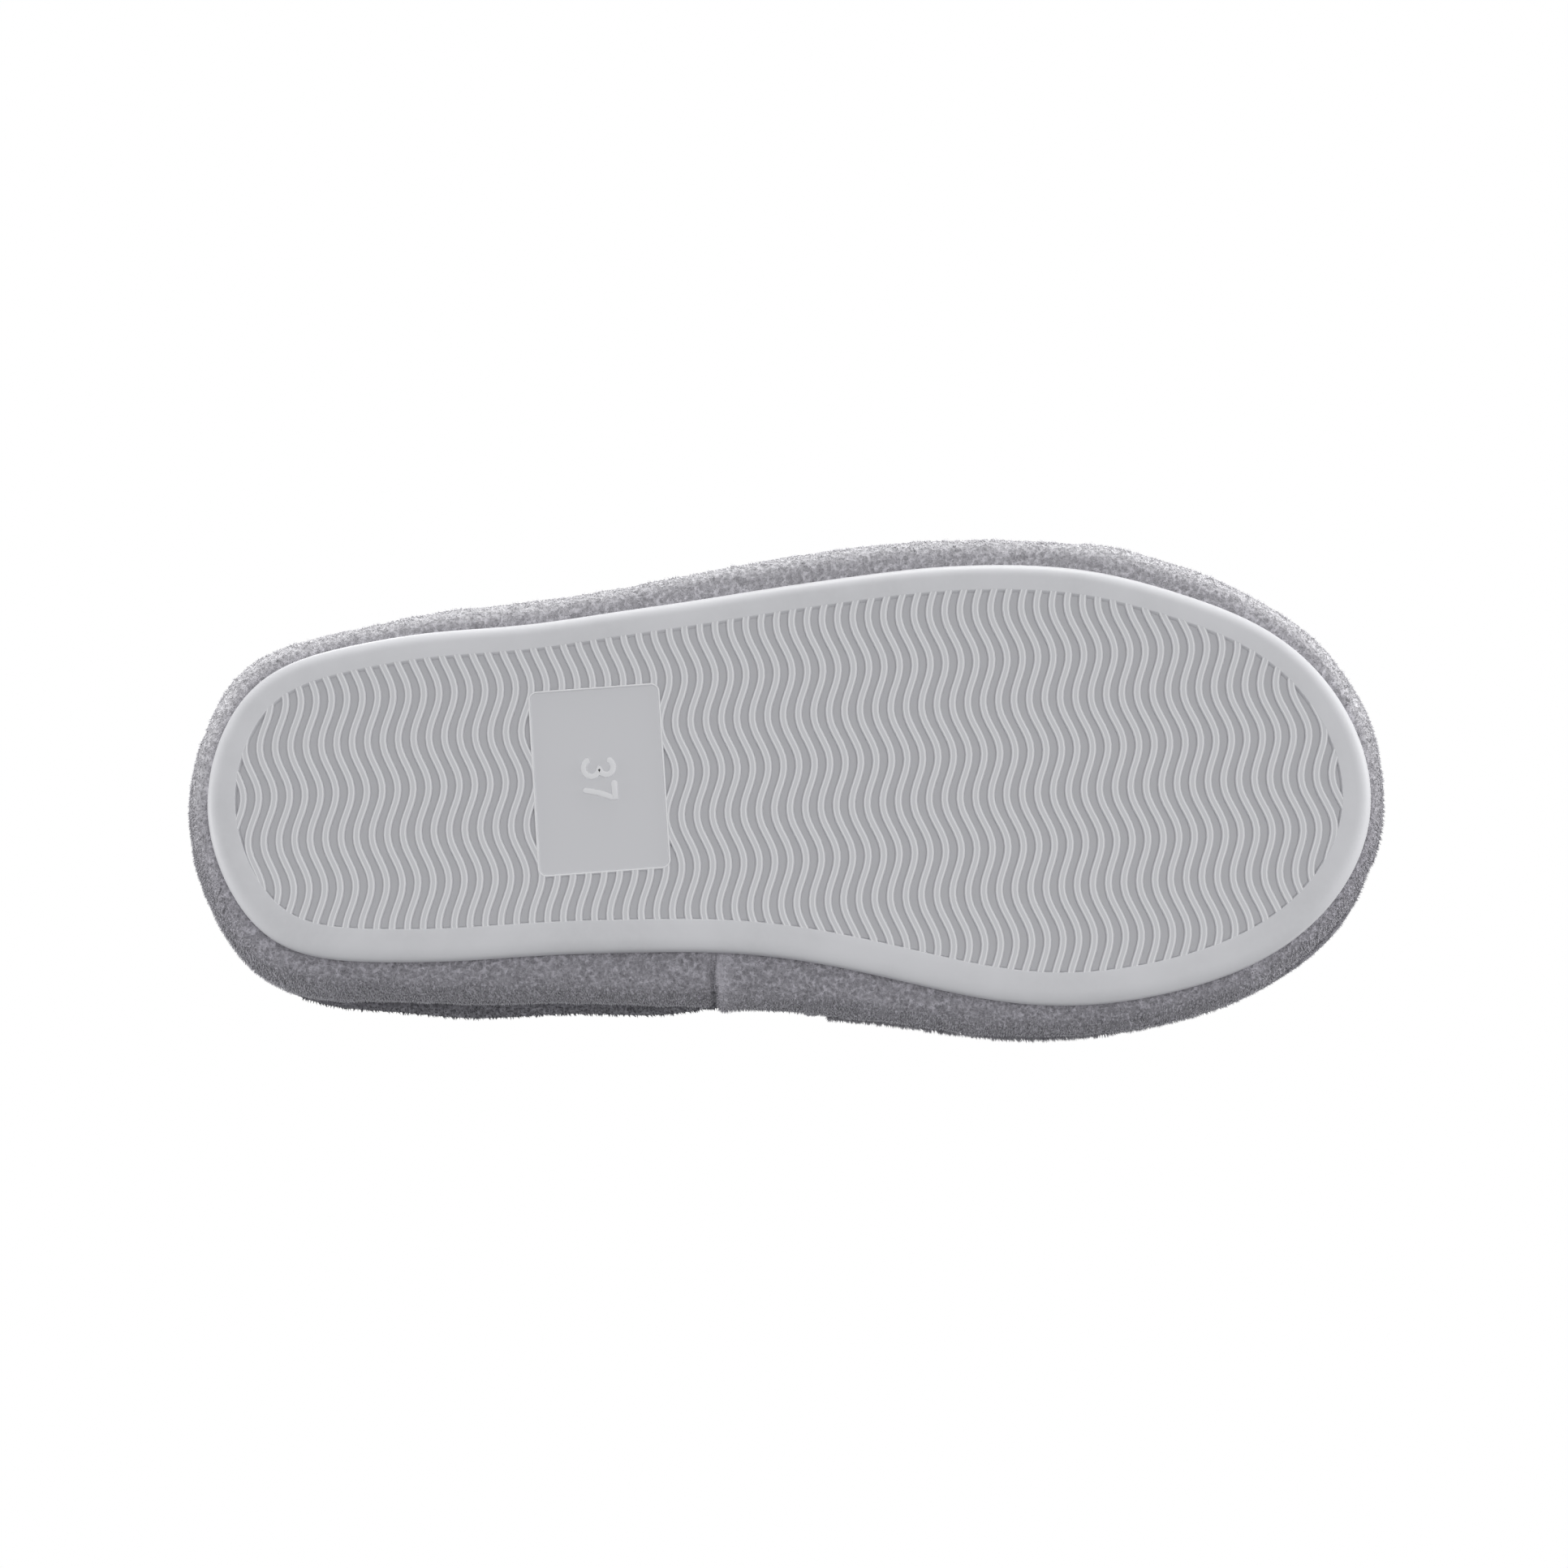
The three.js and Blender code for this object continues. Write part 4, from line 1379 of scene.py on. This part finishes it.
# ---- platform ------------------------------------------------------------------------------------
@dataclass
class Platform:
    """The fleece band round the wedge, with its lap seam and the layers that it hides."""

    last: Last
    fleece: bpy.types.Material
    pile: bpy.types.Material
    slot: Slot = Slot.WRAP
    flat: tuple[float, float] = (660 * MM, 27 * MM)
    foot: float = 5.3 * MM
    thickness: float = 2.2 * MM
    pile_room: float = 0.15 * MM
    margin: float = 7.0 * MM
    margin_thickness: float = 1.4 * MM
    turn: float = 4.4 * MM
    tuck: float = 1.1 * MM
    lap_along: float = 18.0 * MM
    lap_rise: float = 1.2 * MM
    lap_reach: float = 7.0 * MM
    crease_depth: float = 1.5 * MM
    crease_ahead: float = 0.7 * MM
    crease_width: float = 0.9 * MM
    flange: tuple[float, float] = (-4.5 * MM, -1.0 * MM)
    heel_rise: float = 1.6 * MM
    toe_rise: float = 0.5 * MM
    rim_light_start: tuple[float, float] = (4.5 * MM, 6.6 * MM)
    rim_light_end: tuple[float, float] = (11 * MM, 19 * MM)
    fullness: Sequence[tuple[Side, float, float, float]] = (
        (Side.OUTER, 68 * MM, 24 * MM, 1.0 * MM), (Side.OUTER, -85 * MM, 16 * MM, 1.2 * MM),
        (Side.OUTER, -15 * MM, 30 * MM, 1.0 * MM), (Side.INNER, -115 * MM, 14 * MM, -1.8 * MM),
        (Side.INNER, 105 * MM, 22 * MM, -1.0 * MM))
    lumps: LumpLayers = ((14 * MM, 4.1, 0.45 * MM), (5 * MM, 9.3, 0.22 * MM))
    points: int = 960

    def reaches(self) -> tuple[Array, Array]:
        """How far the band's side and its top edge stand out from the rubber's edge.

        Returns:
            The side's and the top edge's distances.
        """
        skin = Skin("platform_wrap")

        def at(share: float) -> Array:
            """The distances at a share of the band's height."""
            level = lambda y: self.foot + (self.last.top(y) - self.foot) * share
            return self.last.reach(skin, level, self.points) - self.pile_room

        return at(0.5), at(0.985)

    def band(self) -> bpy.types.Object:
        """The band as a hoop with a turned-in lower margin.

        Returns:
            The band.
        """
        outline, normals = self.last.outline(self.points)
        wide, edge = self.reaches()
        top = self.last.top(outline[:, 1])
        edge = edge - self.tuck * waist(outline, 0.0, 80 * MM)
        rise, thick, turn = top - self.foot, self.thickness, self.turn
        rows = [(-self.margin, self.foot), (-1.5 * MM, self.foot)]
        rows += [(wide - turn * (1 - np.sin(a)) - 0.2 * MM, self.foot + turn * (1 - math.cos(a)))
                 for a in np.radians([0, 15, 30, 45, 60, 75, 90])]
        rows += [(wide + (edge - wide) * max(s - 0.45, 0) / 0.55 + 0.5 * MM * math.sin(math.pi * s),
                  self.foot + turn + (rise - turn - 0.8 * MM) * s) for s in np.linspace(0.12, 1, 9)]
        rows += [(edge - 0.35 * MM, top - 0.2 * MM), (edge - thick / 2, top), (edge - thick, top - 0.4 * MM)]
        rows += [(wide - thick - 0.3 * MM, self.foot + rise * s) for s in (0.7, 0.45)]
        rows += [(wide - thick - 1.2 * MM, self.foot + self.margin_thickness),
                 (-self.margin, self.foot + self.margin_thickness)]
        rings = stack(outline, normals, rows)
        piece = loft("fleece_band", rings, closed_section=True)
        self.shape(piece, rings)
        return piece

    def shape(self, piece: bpy.types.Object, rings: Array) -> None:
        """Adds the lap seam and the fleece's unevenness, and marks where it is lighter and curlier: the
        lighter flange, the curlier lower part, and the painted rim light on the outer side and the ends.

        Args:
            piece: The band.
            rings: Its rings, to know where each point lies.
        """
        flat = rings.reshape(-1, 3)
        x, y, z = flat.T
        outside = self.shown(len(rings), 2).astype(float)
        along, inner = y - self.lap_along, x > 0
        flap = np.where(along < 0, np.exp(along / self.lap_reach), 0.0) * self.lap_rise
        crease = self.crease_depth * np.exp(-((along - self.crease_ahead) / self.crease_width) ** 2)
        seam = np.where(inner, flap - crease, 0.0)
        ends = (self.heel_rise * ease(85 * MM, 118 * MM, y) + self.toe_rise * ease(-105 * MM, -120 * MM, y))
        full = sum(rise * ease(-10 * MM, 20 * MM, x * side.value) * np.exp(-((y - place) / reach) ** 2)
                   for side, place, reach, rise in self.fullness)
        swell(piece, outside * (seam + uneven(flat, self.lumps) + ends + full))
        mark(piece, "flange", inner * ease(*self.flange, along) * (along < 0.2 * MM))
        # A painted rim light: full on the outer side, partial at the ends, none on the inner side, between
        # two heights up the band.
        outer = np.tile(ease(0.6, -0.8, self.last.outline(self.points)[1][:, 0]), len(rings))
        mark(piece, "frost", outer * ease(*self.rim_light_start, z) * (1 - ease(*self.rim_light_end, z)))
        mark(piece, "curly", 1 - 0.75 * ease(self.foot + 1.5 * MM, self.foot + 6 * MM, z))

    def shown(self, rings: int, first: int) -> Array:
        """Whether each point lies outside, from the first ring that counts up to the top edge."""
        row = np.repeat(np.arange(rings), self.points)
        return (row >= first) & (row <= rings - 5)

    def build(self) -> list[bpy.types.Object]:
        """Makes the band and its pile, and dresses the hidden layers.

        Returns:
            The band and its pile.
        """
        band = self.band()
        shade(band, self.fleece)
        cover = self.shown(len(band.data.vertices) // self.points, 1)
        pile = Pile(self.pile).grow(band, cover, "fleece_band_pile", self.slot)
        settle(band, self.slot, "platform_wrap")
        hidden = {
            "platform_core": CellFoam("platform_foam", (0.78, 0.77, 0.73)),
            "bottom_filler": PressedFibre("felt_filler", (0.33, 0.32, 0.30)),
            "insole_board": PressedFibre("fibre_board", (0.42, 0.31, 0.19), 0.8 * MM),
        }
        for node, finish in hidden.items():
            shade(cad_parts[node], finish.make())
        return [band, pile]


# ---- footbed -------------------------------------------------------------------------------------
@dataclass
class Footbed:
    """The padded footbed under its fleece cover."""

    last: Last
    fleece: bpy.types.Material
    pile: bpy.types.Material
    slot: Slot = Slot.FOOTBED
    pile_room: float = 0.2 * MM
    rounding: float = 3.4 * MM
    dish: float = 2.2 * MM
    bulge: float = 1.4 * MM
    inner_bulge: float = 0.5 * MM
    lumps: LumpLayers = ((16 * MM, 2.2, 0.35 * MM),)
    bare_under_toe: tuple[float, float] = (-75 * MM, -50 * MM)
    points: int = 288

    def skin(self) -> bpy.types.Object:
        """The cover's outer shape as a closed form.

        Returns:
            The cushion.
        """
        outline, normals = self.last.outline(self.points)
        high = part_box("footbed_cover")[1]
        top = self.last.top(outline[:, 1])
        rise = high.z - self.last.top(np.array([high.y]))[0] - self.pile_room
        middle = lambda y: self.last.top(y) + rise * 0.5
        side = self.last.reach(Skin("footbed_cover"), middle, self.points) - self.pile_room
        foot = np.maximum(self.last.wrap_edge(self.points) - 0.1 * MM, side)
        rows = [(foot - 12 * MM, top + 0.3 * MM), (foot - 1.0 * MM, top + 0.15 * MM), (foot, top + 0.7 * MM)]
        bulge = self.bulge + self.inner_bulge * waist(outline, -10 * MM, 70 * MM)
        rows += [(foot + (side - foot) * float(ease(0.1, 0.6, s)) + bulge * math.sin(math.pi * s),
                  top + 1.0 * MM + (rise - self.rounding - 1.0 * MM) * s) for s in (0.1, 0.3, 0.55, 0.8, 1.0)]
        rows += [(side - self.rounding * (1 - math.cos(a)), top + rise - self.rounding * (1 - math.sin(a)))
                 for a in np.radians([20, 42, 65, 90])]
        rows += [(side - self.rounding - reach, top + rise - self.dish * float(ease(0, 20 * MM, reach)))
                 for reach in (4 * MM, 9 * MM, 14 * MM, 20 * MM, 26 * MM)]
        return loft("footbed_cushion", stack(outline, normals, rows))

    def build(self) -> list[bpy.types.Object]:
        """Makes the cushion and its pile, and dresses the foam.

        Returns:
            The cushion and its pile.
        """
        cushion = self.skin()
        row = np.repeat(np.arange(len(cushion.data.vertices) // self.points), self.points)
        inflate(cushion, row < 3, pressure=2.5, cap=1.6 * MM)
        flat = mesh_points(cushion)
        swell(cushion, uneven(flat, self.lumps))
        shade(cushion, self.fleece)
        cover = (row >= 1) * ease(*self.bare_under_toe, flat[:, 1])
        pile = Pile(self.pile, density=1.9e6, length=0.75 * MM, lean=(0, -0.35, -0.3)).grow(
            cushion, cover, "footbed_pile", self.slot)
        settle(cushion, self.slot, "footbed_cover")
        shade(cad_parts["footbed_foam"], CellFoam("footbed_foam", (0.72, 0.69, 0.58)).make())
        return [cushion, pile]


# ---- vamp ----------------------------------------------------------------------------------------
@dataclass
class Vamp:
    """The closed toe: outer fleece over sponge, a lining, a rolled binding and a row of stitches."""

    last: Last
    fleece: bpy.types.Material
    pile: bpy.types.Material
    lining: bpy.types.Material
    inset: float = 0.4 * MM
    foot: float = 1.4 * MM
    outer: float = 1.8 * MM
    sponge: float = 2.4 * MM
    clear: float = 0.3 * MM
    lining_depth: float = 1.3 * MM
    sweep: float = 9 * MM
    fullness: float = 1.95
    pile_room: float = 0.3 * MM
    arch_points: int = 120
    stations: int = 64
    outer_lumps: LumpLayers = ((20 * MM, 6.4, 0.6 * MM), (7 * MM, 1.3, 0.25 * MM))
    lining_lumps: LumpLayers = ((12 * MM, 3.4, 0.3 * MM),)
    outer_flat: tuple[float, float] = (210 * MM, 130 * MM)
    outer_area: float = 0.0185
    lining_flat: tuple[float, float] = (190 * MM, 120 * MM)
    lining_area: float = 0.0165
    binding_radius: float = 3.3 * MM
    binding_pile_room: float = 0.4 * MM
    binding_lumps: LumpLayers = ((8 * MM, 5.5, 0.35 * MM),)

    def __post_init__(self) -> None:
        """Reads the wrap's top edge and the vamp's ends from the frame."""
        count = 720
        outline, normals = self.last.outline(count)
        self.edge = outline + normals * self.last.wrap_edge(count)[:, None]
        self.edge_out = normals
        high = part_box("vamp_outer")[1]
        self.start = float(high.y)
        self.crown = float(high.z - self.last.top(np.array([high.y - self.sweep]))[0] - self.foot)
        self.layers = self.outer + self.sponge + self.lining_depth + 2 * self.clear

    def reach(self, inset: float, y: Array, side: Side) -> Array:
        """How far the moved-in edge reaches to one side.

        Args:
            inset: How far the edge is moved in.
            y: Places along the foot.
            side: The side.

        Returns:
            The edge's x at those places.
        """
        loop = self.edge - self.edge_out * inset
        toe, heel = loop[:, 1].argmin(), loop[:, 1].argmax()
        order = np.roll(np.arange(len(loop)), -toe)
        split = int(np.flatnonzero(order == heel)[0])
        if side is Side.INNER:
            part = loop[order[:split + 1]]
        else:
            part = loop[np.roll(order, -split)][: len(loop) - split + 1][::-1]
        return np.interp(y, part[:, 1], part[:, 0])

    def arch(self, inset: float, turn: float, ahead: float = 0.0, lift: float = 0.0) -> Array:
        """One arch from the outer side over the crown to the inner side.

        Args:
            inset: How far inside the outer skin it runs.
            turn: 0 at the throat, a quarter turn at the toe.
            ahead: How far ahead of the throat the first arch stands.
            lift: How far the arch's feet are raised.

        Returns:
            Its points.
        """
        toe = float((self.edge - self.edge_out * (self.inset + inset))[:, 1].min())
        lean = math.pi * (1 - np.linspace(0, 1, self.arch_points + 1))
        throat = self.start - ahead - self.sweep * np.sin(lean) ** 2
        y = throat + (toe + 0.02 * MM - throat) * math.sin(turn)
        share = np.clip((y - self.start) / (toe - self.start), 0, 1)
        crown = (self.crown - inset) * (1 - share ** 2.7) ** (1 / 2.2)
        left, right = (self.reach(self.inset + inset, y, side) for side in Side)
        bend = lambda v: np.sign(v) * np.abs(v) ** (2 / self.fullness)
        x = (left + right) / 2 + (right - left) / 2 * bend(np.cos(lean))
        z = self.last.top(y) + self.foot + lift + crown * np.maximum(bend(np.sin(lean)), 0)
        return np.column_stack([x, y, z])

    def layer(self, name: str, inset: float, thickness: float, drop: float) -> bpy.types.Object:
        """One layer of the vamp as a closed shell.

        Args:
            name: The layer's name.
            inset: Its outer skin's distance inside the vamp's outer skin.
            thickness: Its thickness.
            drop: How far its feet reach down towards the wrap.

        Returns:
            The layer.
        """
        turns = np.linspace(0, math.pi / 2, self.stations + 1)[:-1]
        turns = np.append(turns, math.pi / 2 - 0.004)
        skins = [np.array([self.arch(depth, t, lift=-drop) for t in turns])
                 for depth in (inset, inset + thickness)]
        width = self.arch_points + 1
        per_skin = len(turns) * width
        flat = np.concatenate([s.reshape(-1, 3) for s in skins])
        faces = []
        for k, flip in ((0, False), (1, True)):
            for s in range(len(turns) - 1):
                a = k * per_skin + s * width
                for i in range(self.arch_points):
                    quad = (a + i + 1, a + i, a + width + i, a + width + i + 1)
                    faces.append(quad[::-1] if flip else quad)
        for s in range(len(turns) - 1):
            for i, flip in ((0, False), (self.arch_points, True)):
                a, b = s * width + i, (s + 1) * width + i
                quad = (a, a + per_skin, b + per_skin, b)
                faces.append(quad[::-1] if flip else quad)
        for i in range(self.arch_points):
            faces.append((i, i + 1, per_skin + i + 1, per_skin + i))
            a = (len(turns) - 1) * width + i
            faces.append((a + 1, a, per_skin + a, per_skin + a + 1))
        return new_object(name, flat, faces)

    def build(self) -> list[bpy.types.Object]:
        """Makes the outer fleece, the lining, the binding and the stitches, and dresses the sponge.

        Returns:
            The pieces.
        """
        return [*self.outside(), self.inside(), self.binding(), *self.stitches()]

    def outside(self) -> list[bpy.types.Object]:
        """The outer fleece, puffed up, with its pile.

        Returns:
            The fleece and its pile.
        """
        outer = self.layer("vamp_fleece", self.pile_room, self.outer - self.pile_room, self.foot - 0.3 * MM)
        flat = mesh_points(outer)
        place, half, width = np.arange(len(flat)), len(flat) // 2, self.arch_points + 1
        shown = (place < half).astype(float)
        column, station = place % width, (place % half) // width
        hem = (station < 2) | (column < 2) | (column > self.arch_points - 2)
        inflate(outer, (shown == 0) | hem, pressure=3.0, cap=1.8 * MM)
        swell(outer, shown * uneven(flat, self.outer_lumps))
        shade(outer, self.fleece)
        pile = Pile(self.pile, density=2.3e6, lean=(0, -0.5, -0.55), seed=8).grow(
            outer, shown, "vamp_pile", Slot.TOE)
        settle(outer, Slot.TOE, "vamp_outer")
        shade(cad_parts["vamp_foam"], CellFoam("vamp_sponge", (0.42, 0.41, 0.43)).make())
        return [outer, pile]

    def inside(self) -> bpy.types.Object:
        """The lining.

        Returns:
            The lining.
        """
        inner = self.layer("vamp_lining_fleece", self.layers - self.lining_depth, self.lining_depth,
                           self.foot - 0.6 * MM)
        flat = mesh_points(inner)
        shown = (np.arange(len(flat)) >= len(flat) // 2).astype(float)
        swell(inner, shown * uneven(flat, self.lining_lumps))
        shade(inner, self.lining)
        settle(inner, Slot.FOOTBED, "vamp_lining")
        return inner

    def binding(self) -> bpy.types.Object:
        """The rolled fleece binding along the throat, with its pile.

        Returns:
            The binding.
        """
        middle = self.arch(self.layers / 2, 0.0, ahead=-self.binding_radius - self.clear, lift=-0.6 * MM)
        above = middle[:, 2] - middle[:, 2].min()
        middle[:, 0] -= np.sign(middle[:, 0]) * 2.2 * MM * np.exp(-above / (9 * MM))
        along = np.gradient(middle, axis=0)
        along /= np.linalg.norm(along, axis=1, keepdims=True)
        side = np.cross(along, (0.0, 1.0, 0.0))
        side /= np.linalg.norm(side, axis=1, keepdims=True)
        angle = np.linspace(0, 2 * math.pi, 20, endpoint=False)[:, None]
        radius = self.binding_radius - self.binding_pile_room
        rings = [spot + radius * (np.cos(angle) * a + np.sin(angle) * b)
                 for spot, a, b in zip(middle, side, np.cross(side, along))]
        piece = new_object("throat_roll", np.concatenate(rings), tube_faces(len(rings), len(angle)))
        turn_out(piece)
        flat = mesh_points(piece)
        swell(piece, uneven(flat, self.binding_lumps))
        shade(piece, self.fleece)
        Pile(self.pile, density=2.6e6, length=0.65 * MM, lean=(0, 0.2, 0.0), seed=21).grow(
            piece, np.ones(len(flat)), "throat_pile", Slot.BINDING)
        settle(piece, Slot.BINDING, "throat_binding")
        return piece

    def stitches(self) -> list[bpy.types.Object]:
        """The thread rows: along the throat, round the platform's edge and down the lap seam.

        Returns:
            One piece for each row.
        """
        thread = TwistedThread().make()
        throat = self.arch(self.pile_room - 0.5 * MM, 0.0, ahead=6 * MM, lift=0.3 * MM - self.foot)[4:-4]
        outline, normals = self.last.outline(360)
        inset = self.last.wrap_edge(len(outline))[:, None] - 1.3 * MM
        feather = np.column_stack([outline + normals * inset, self.last.top(outline[:, 1]) + 0.7 * MM])
        low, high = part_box("lap_seam_thread")
        x, y = (low.x + high.x) / 2, (low.y + high.y) / 2
        lap = np.array([(x, y, z) for z in np.linspace(low.z, high.z, 12)])
        return [StitchRow("throat_stitches", throat, 90, thread).build("throat_stitching"),
                StitchRow("feather_stitches", feather, 300, thread).build("feather_seam_thread"),
                StitchRow("lap_stitches", lap, 4, thread).build("lap_seam_thread")]


@dataclass
class StitchRow:
    """A row of sewn stitches along a path."""

    name: str
    path: Array
    count: int
    material: bpy.types.Material
    radius: float = 0.36 * MM
    fill: float = 0.78

    def stitch(self) -> bpy.types.Object:
        """One stitch, one unit long along z, with rounded ends.

        Returns:
            The stitch.
        """
        rows = [(-0.5, 0.35), (-0.42, 0.8), (-0.2, 1.0), (0.2, 1.0), (0.42, 0.8), (0.5, 0.35)]
        angle = np.radians(np.arange(0, 360, 60))
        rings = [np.column_stack([np.cos(angle) * r, np.sin(angle) * r, np.full(len(angle), z)])
                 for z, r in rows]
        return new_object("stitch", np.concatenate(rings), tube_faces(len(rows), len(angle)))

    @staticmethod
    def tree() -> GeometryTree:
        """A tree that lays stitches along a path.

        Returns:
            The tree.
        """
        tree = GeometryTree("stitch_row")
        (count,), (radius, long) = tree.give("Int", "Count"), tree.give("Float", "Radius", "Length")
        (stitch,), (material,) = tree.give("Object", "Stitch"), tree.give("Material", "Material")
        curve = tree.add("GeometryNodeMeshToCurve", None, {"Mesh": tree.source})
        spots = tree.add("GeometryNodeCurveToPoints", {"mode": "COUNT"}, {"Curve": curve, "Count": count})
        turn = tree.add("FunctionNodeAlignRotationToVector", {"axis": "Z"}, {
            "Vector": tree.wire(spots, "Tangent")})
        laid = tree.add("GeometryNodeInstanceOnPoints", None, {
            "Points": tree.wire(spots, "Points"), "Instance": tree.mesh_of(stitch), "Rotation": turn,
            "Scale": tree.xyz(X=radius, Y=radius, Z=long)})
        return tree.finish(laid, material)

    def build(self, node: str) -> bpy.types.Object:
        """Makes the row.

        Args:
            node: The frame piece that it stands for.

        Returns:
            The row.
        """
        guide, one = new_path("guide", self.path), self.stitch()
        length = float(np.linalg.norm(np.diff(self.path, axis=0), axis=1).sum()) / self.count * self.fill
        row = self.tree().run(guide, {"Count": self.count, "Radius": self.radius, "Length": length,
                                      "Stitch": one, "Material": self.material}, self.name)
        for helper in (guide, one):
            bpy.data.objects.remove(helper)
        round_off(row)
        return settle(row, Slot.THREAD, node)


# ---- studio --------------------------------------------------------------------------------------
@dataclass(frozen=True)
class Lamp:
    """A soft square light that looks at the slipper."""

    name: str
    place: tuple[float, float, float]
    size: float
    watts: float

    def hang(self) -> None:
        """Puts the light in its place."""
        light = bpy.data.lights.new(self.name, "AREA")
        light.size, light.energy = self.size, self.watts
        place = Vector(self.place)
        back = place.normalized()
        right = back.orthogonal().normalized()
        placed(self.name, light).matrix_world = turned(right, back.cross(right), back, place)


def turned(right: Vector, up: Vector, back: Vector, place: Vector) -> Matrix:
    """The matrix of something that looks against back.

    Args:
        right: Its right.
        up: Its up.
        back: The way opposite to its look.
        place: Where it stands.

    Returns:
        The matrix.
    """
    return Matrix.Translation(place) @ Matrix((right, up, back)).transposed().to_4x4()


@dataclass
class Studio:
    """The camera, the soft lights, the pale floor and the white surroundings."""

    tilt: float = 15.0
    roll: float = 4.2
    lens: float = 100.0
    distance: float = 0.925
    centre: tuple[float, float] = (-1.34 * MM, 0.06 * MM)
    aside: tuple[float, float] = (-0.52 * MM, -0.6 * MM)
    ambient: float = 0.42
    ambient_colour: Rgb = (0.97, 0.98, 1.0)
    sink: float = 0.1 * MM
    floor_half: float = 2.6
    floor_fade: tuple[float, float] = (0.7, 2.4)
    lamps: Sequence[Lamp] = (
        Lamp("front_below", (0.7, -0.5, -3.4), 2.8, 43.0), Lamp("side", (-1.8, 0.4, 2.4), 1.8, 110.0),
        Lamp("side_low", (-3.0, -0.3, 0.1), 0.8, 56.0), Lamp("heel_side", (-0.6, 3.0, 0.2), 1.6, 48.0),
        Lamp("toe_side", (-0.9, -3.0, 0.2), 1.6, 64.0), Lamp("above", (1.2, -0.8, 3.4), 2.8, 26.0))

    def axes(self) -> tuple[Vector, Vector, Vector]:
        """The view's right, its up and the way from the slipper to the camera.

        Returns:
            The three directions.
        """
        tilt, roll = math.radians(self.tilt), math.radians(self.roll)
        back = Vector((math.sin(tilt), 0, -math.cos(tilt)))
        right, up = Vector((0, -1, 0)), Vector((-math.cos(tilt), 0, -math.sin(tilt)))
        return (right * math.cos(roll) - up * math.sin(roll),
                right * math.sin(roll) + up * math.cos(roll), back)

    def camera(self) -> None:
        """Looks up at the sole from under its inner side."""
        right, up, back = self.axes()
        focus = Vector((*self.centre, 0)) + right * self.aside[0] + up * self.aside[1]
        camera = placed("camera", bpy.data.cameras.new("camera"))
        camera.data.lens, camera.data.sensor_width = self.lens, 36.0
        camera.data.clip_start, camera.data.clip_end = 0.05, 20
        camera.matrix_world = turned(right, up, back, focus + back * self.distance)
        bpy.context.scene.camera = camera

    def surroundings(self) -> None:
        """White to the camera and softer to the slipper."""
        world = bpy.data.worlds.new("surroundings")
        world.use_nodes = True
        graph = Graph(world.node_tree)
        seen = graph.add("ShaderNodeBackground", None, {"Color": rgba((1, 1, 1)), "Strength": 1.0})
        soft = graph.add("ShaderNodeBackground", None, {
            "Color": rgba(self.ambient_colour), "Strength": self.ambient})
        path = graph.wire(graph.add("ShaderNodeLightPath"), "Is Camera Ray")
        both = graph.add("ShaderNodeMixShader", None, {0: path, 1: soft, 2: seen})
        graph.add("ShaderNodeOutputWorld", None, {"Surface": both})
        bpy.context.scene.world = world

    def floor(self) -> None:
        """A pale floor that fades out before the lamps and lets light through to the sole."""
        size = self.floor_half
        corners = [(-size, -size), (size, -size), (size, size), (-size, size)]
        piece = new_object("floor", np.array([(x, y, -self.sink) for x, y in corners]), [(0, 1, 2, 3)])
        graph = ShaderGraph("floor")
        tone = graph.mix(graph.noise(0.4, 2), rgba((0.64, 0.64, 0.645)), rgba((0.68, 0.68, 0.68)))
        matt = graph.add("ShaderNodeBsdfDiffuse", None, {"Color": tone})
        clear = graph.add("ShaderNodeBsdfTransparent")
        length = graph.add("ShaderNodeVectorMath", {"operation": "LENGTH"}, {0: graph.place})
        gone = graph.ramp(graph.wire(length, "Value"), *self.floor_fade)
        under = graph.wire(graph.add("ShaderNodeNewGeometry"), "Backfacing").at_least(gone)
        both = graph.add("ShaderNodeMixShader", None, {0: under, 1: matt, 2: clear})
        graph.add("ShaderNodeOutputMaterial", None, {"Surface": both})
        shade(piece, graph.material)
        piece.visible_shadow = piece.visible_diffuse = piece.visible_glossy = False

    def build(self) -> None:
        """Sets up the whole studio."""
        bpy.context.scene.view_settings.view_transform = "Standard"
        self.camera()
        self.surroundings()
        self.floor()
        for lamp in self.lamps:
            lamp.hang()


def main() -> None:
    """Sets up the studio and builds the slipper piece by piece."""
    logging.basicConfig(level=logging.INFO, format="%(message)s")
    Studio().build()
    last = Last()
    # The footbed fleece's dark grey is painted shade: it stands for the shade on the footbed's side above the
    # band. The vamp lining takes the same material.
    shaded_footbed_colour = (0.235, 0.23, 0.255)
    pile_relief = 0.12 * MM
    fleece = Fleece().make()
    pile = Fleece(name="wrap_pile", sheen=1.0, relief=pile_relief, root_tone=0.7).make()
    sock = Fleece(name="footbed_fleece", colour=shaded_footbed_colour).make()
    sock_pile = Fleece(name="footbed_pile", colour=shaded_footbed_colour, sheen=0.2, relief=pile_relief,
                       root_tone=0.72).make()
    for part in (Outsole(last), Platform(last, fleece, pile), Footbed(last, sock, sock_pile),
                 Vamp(last, fleece, pile, sock)):
        pieces = part.build()
        LOG.info("%s: %s", type(part).__name__, ", ".join(p.name for p in pieces))


if __name__ == "__main__":
    main()
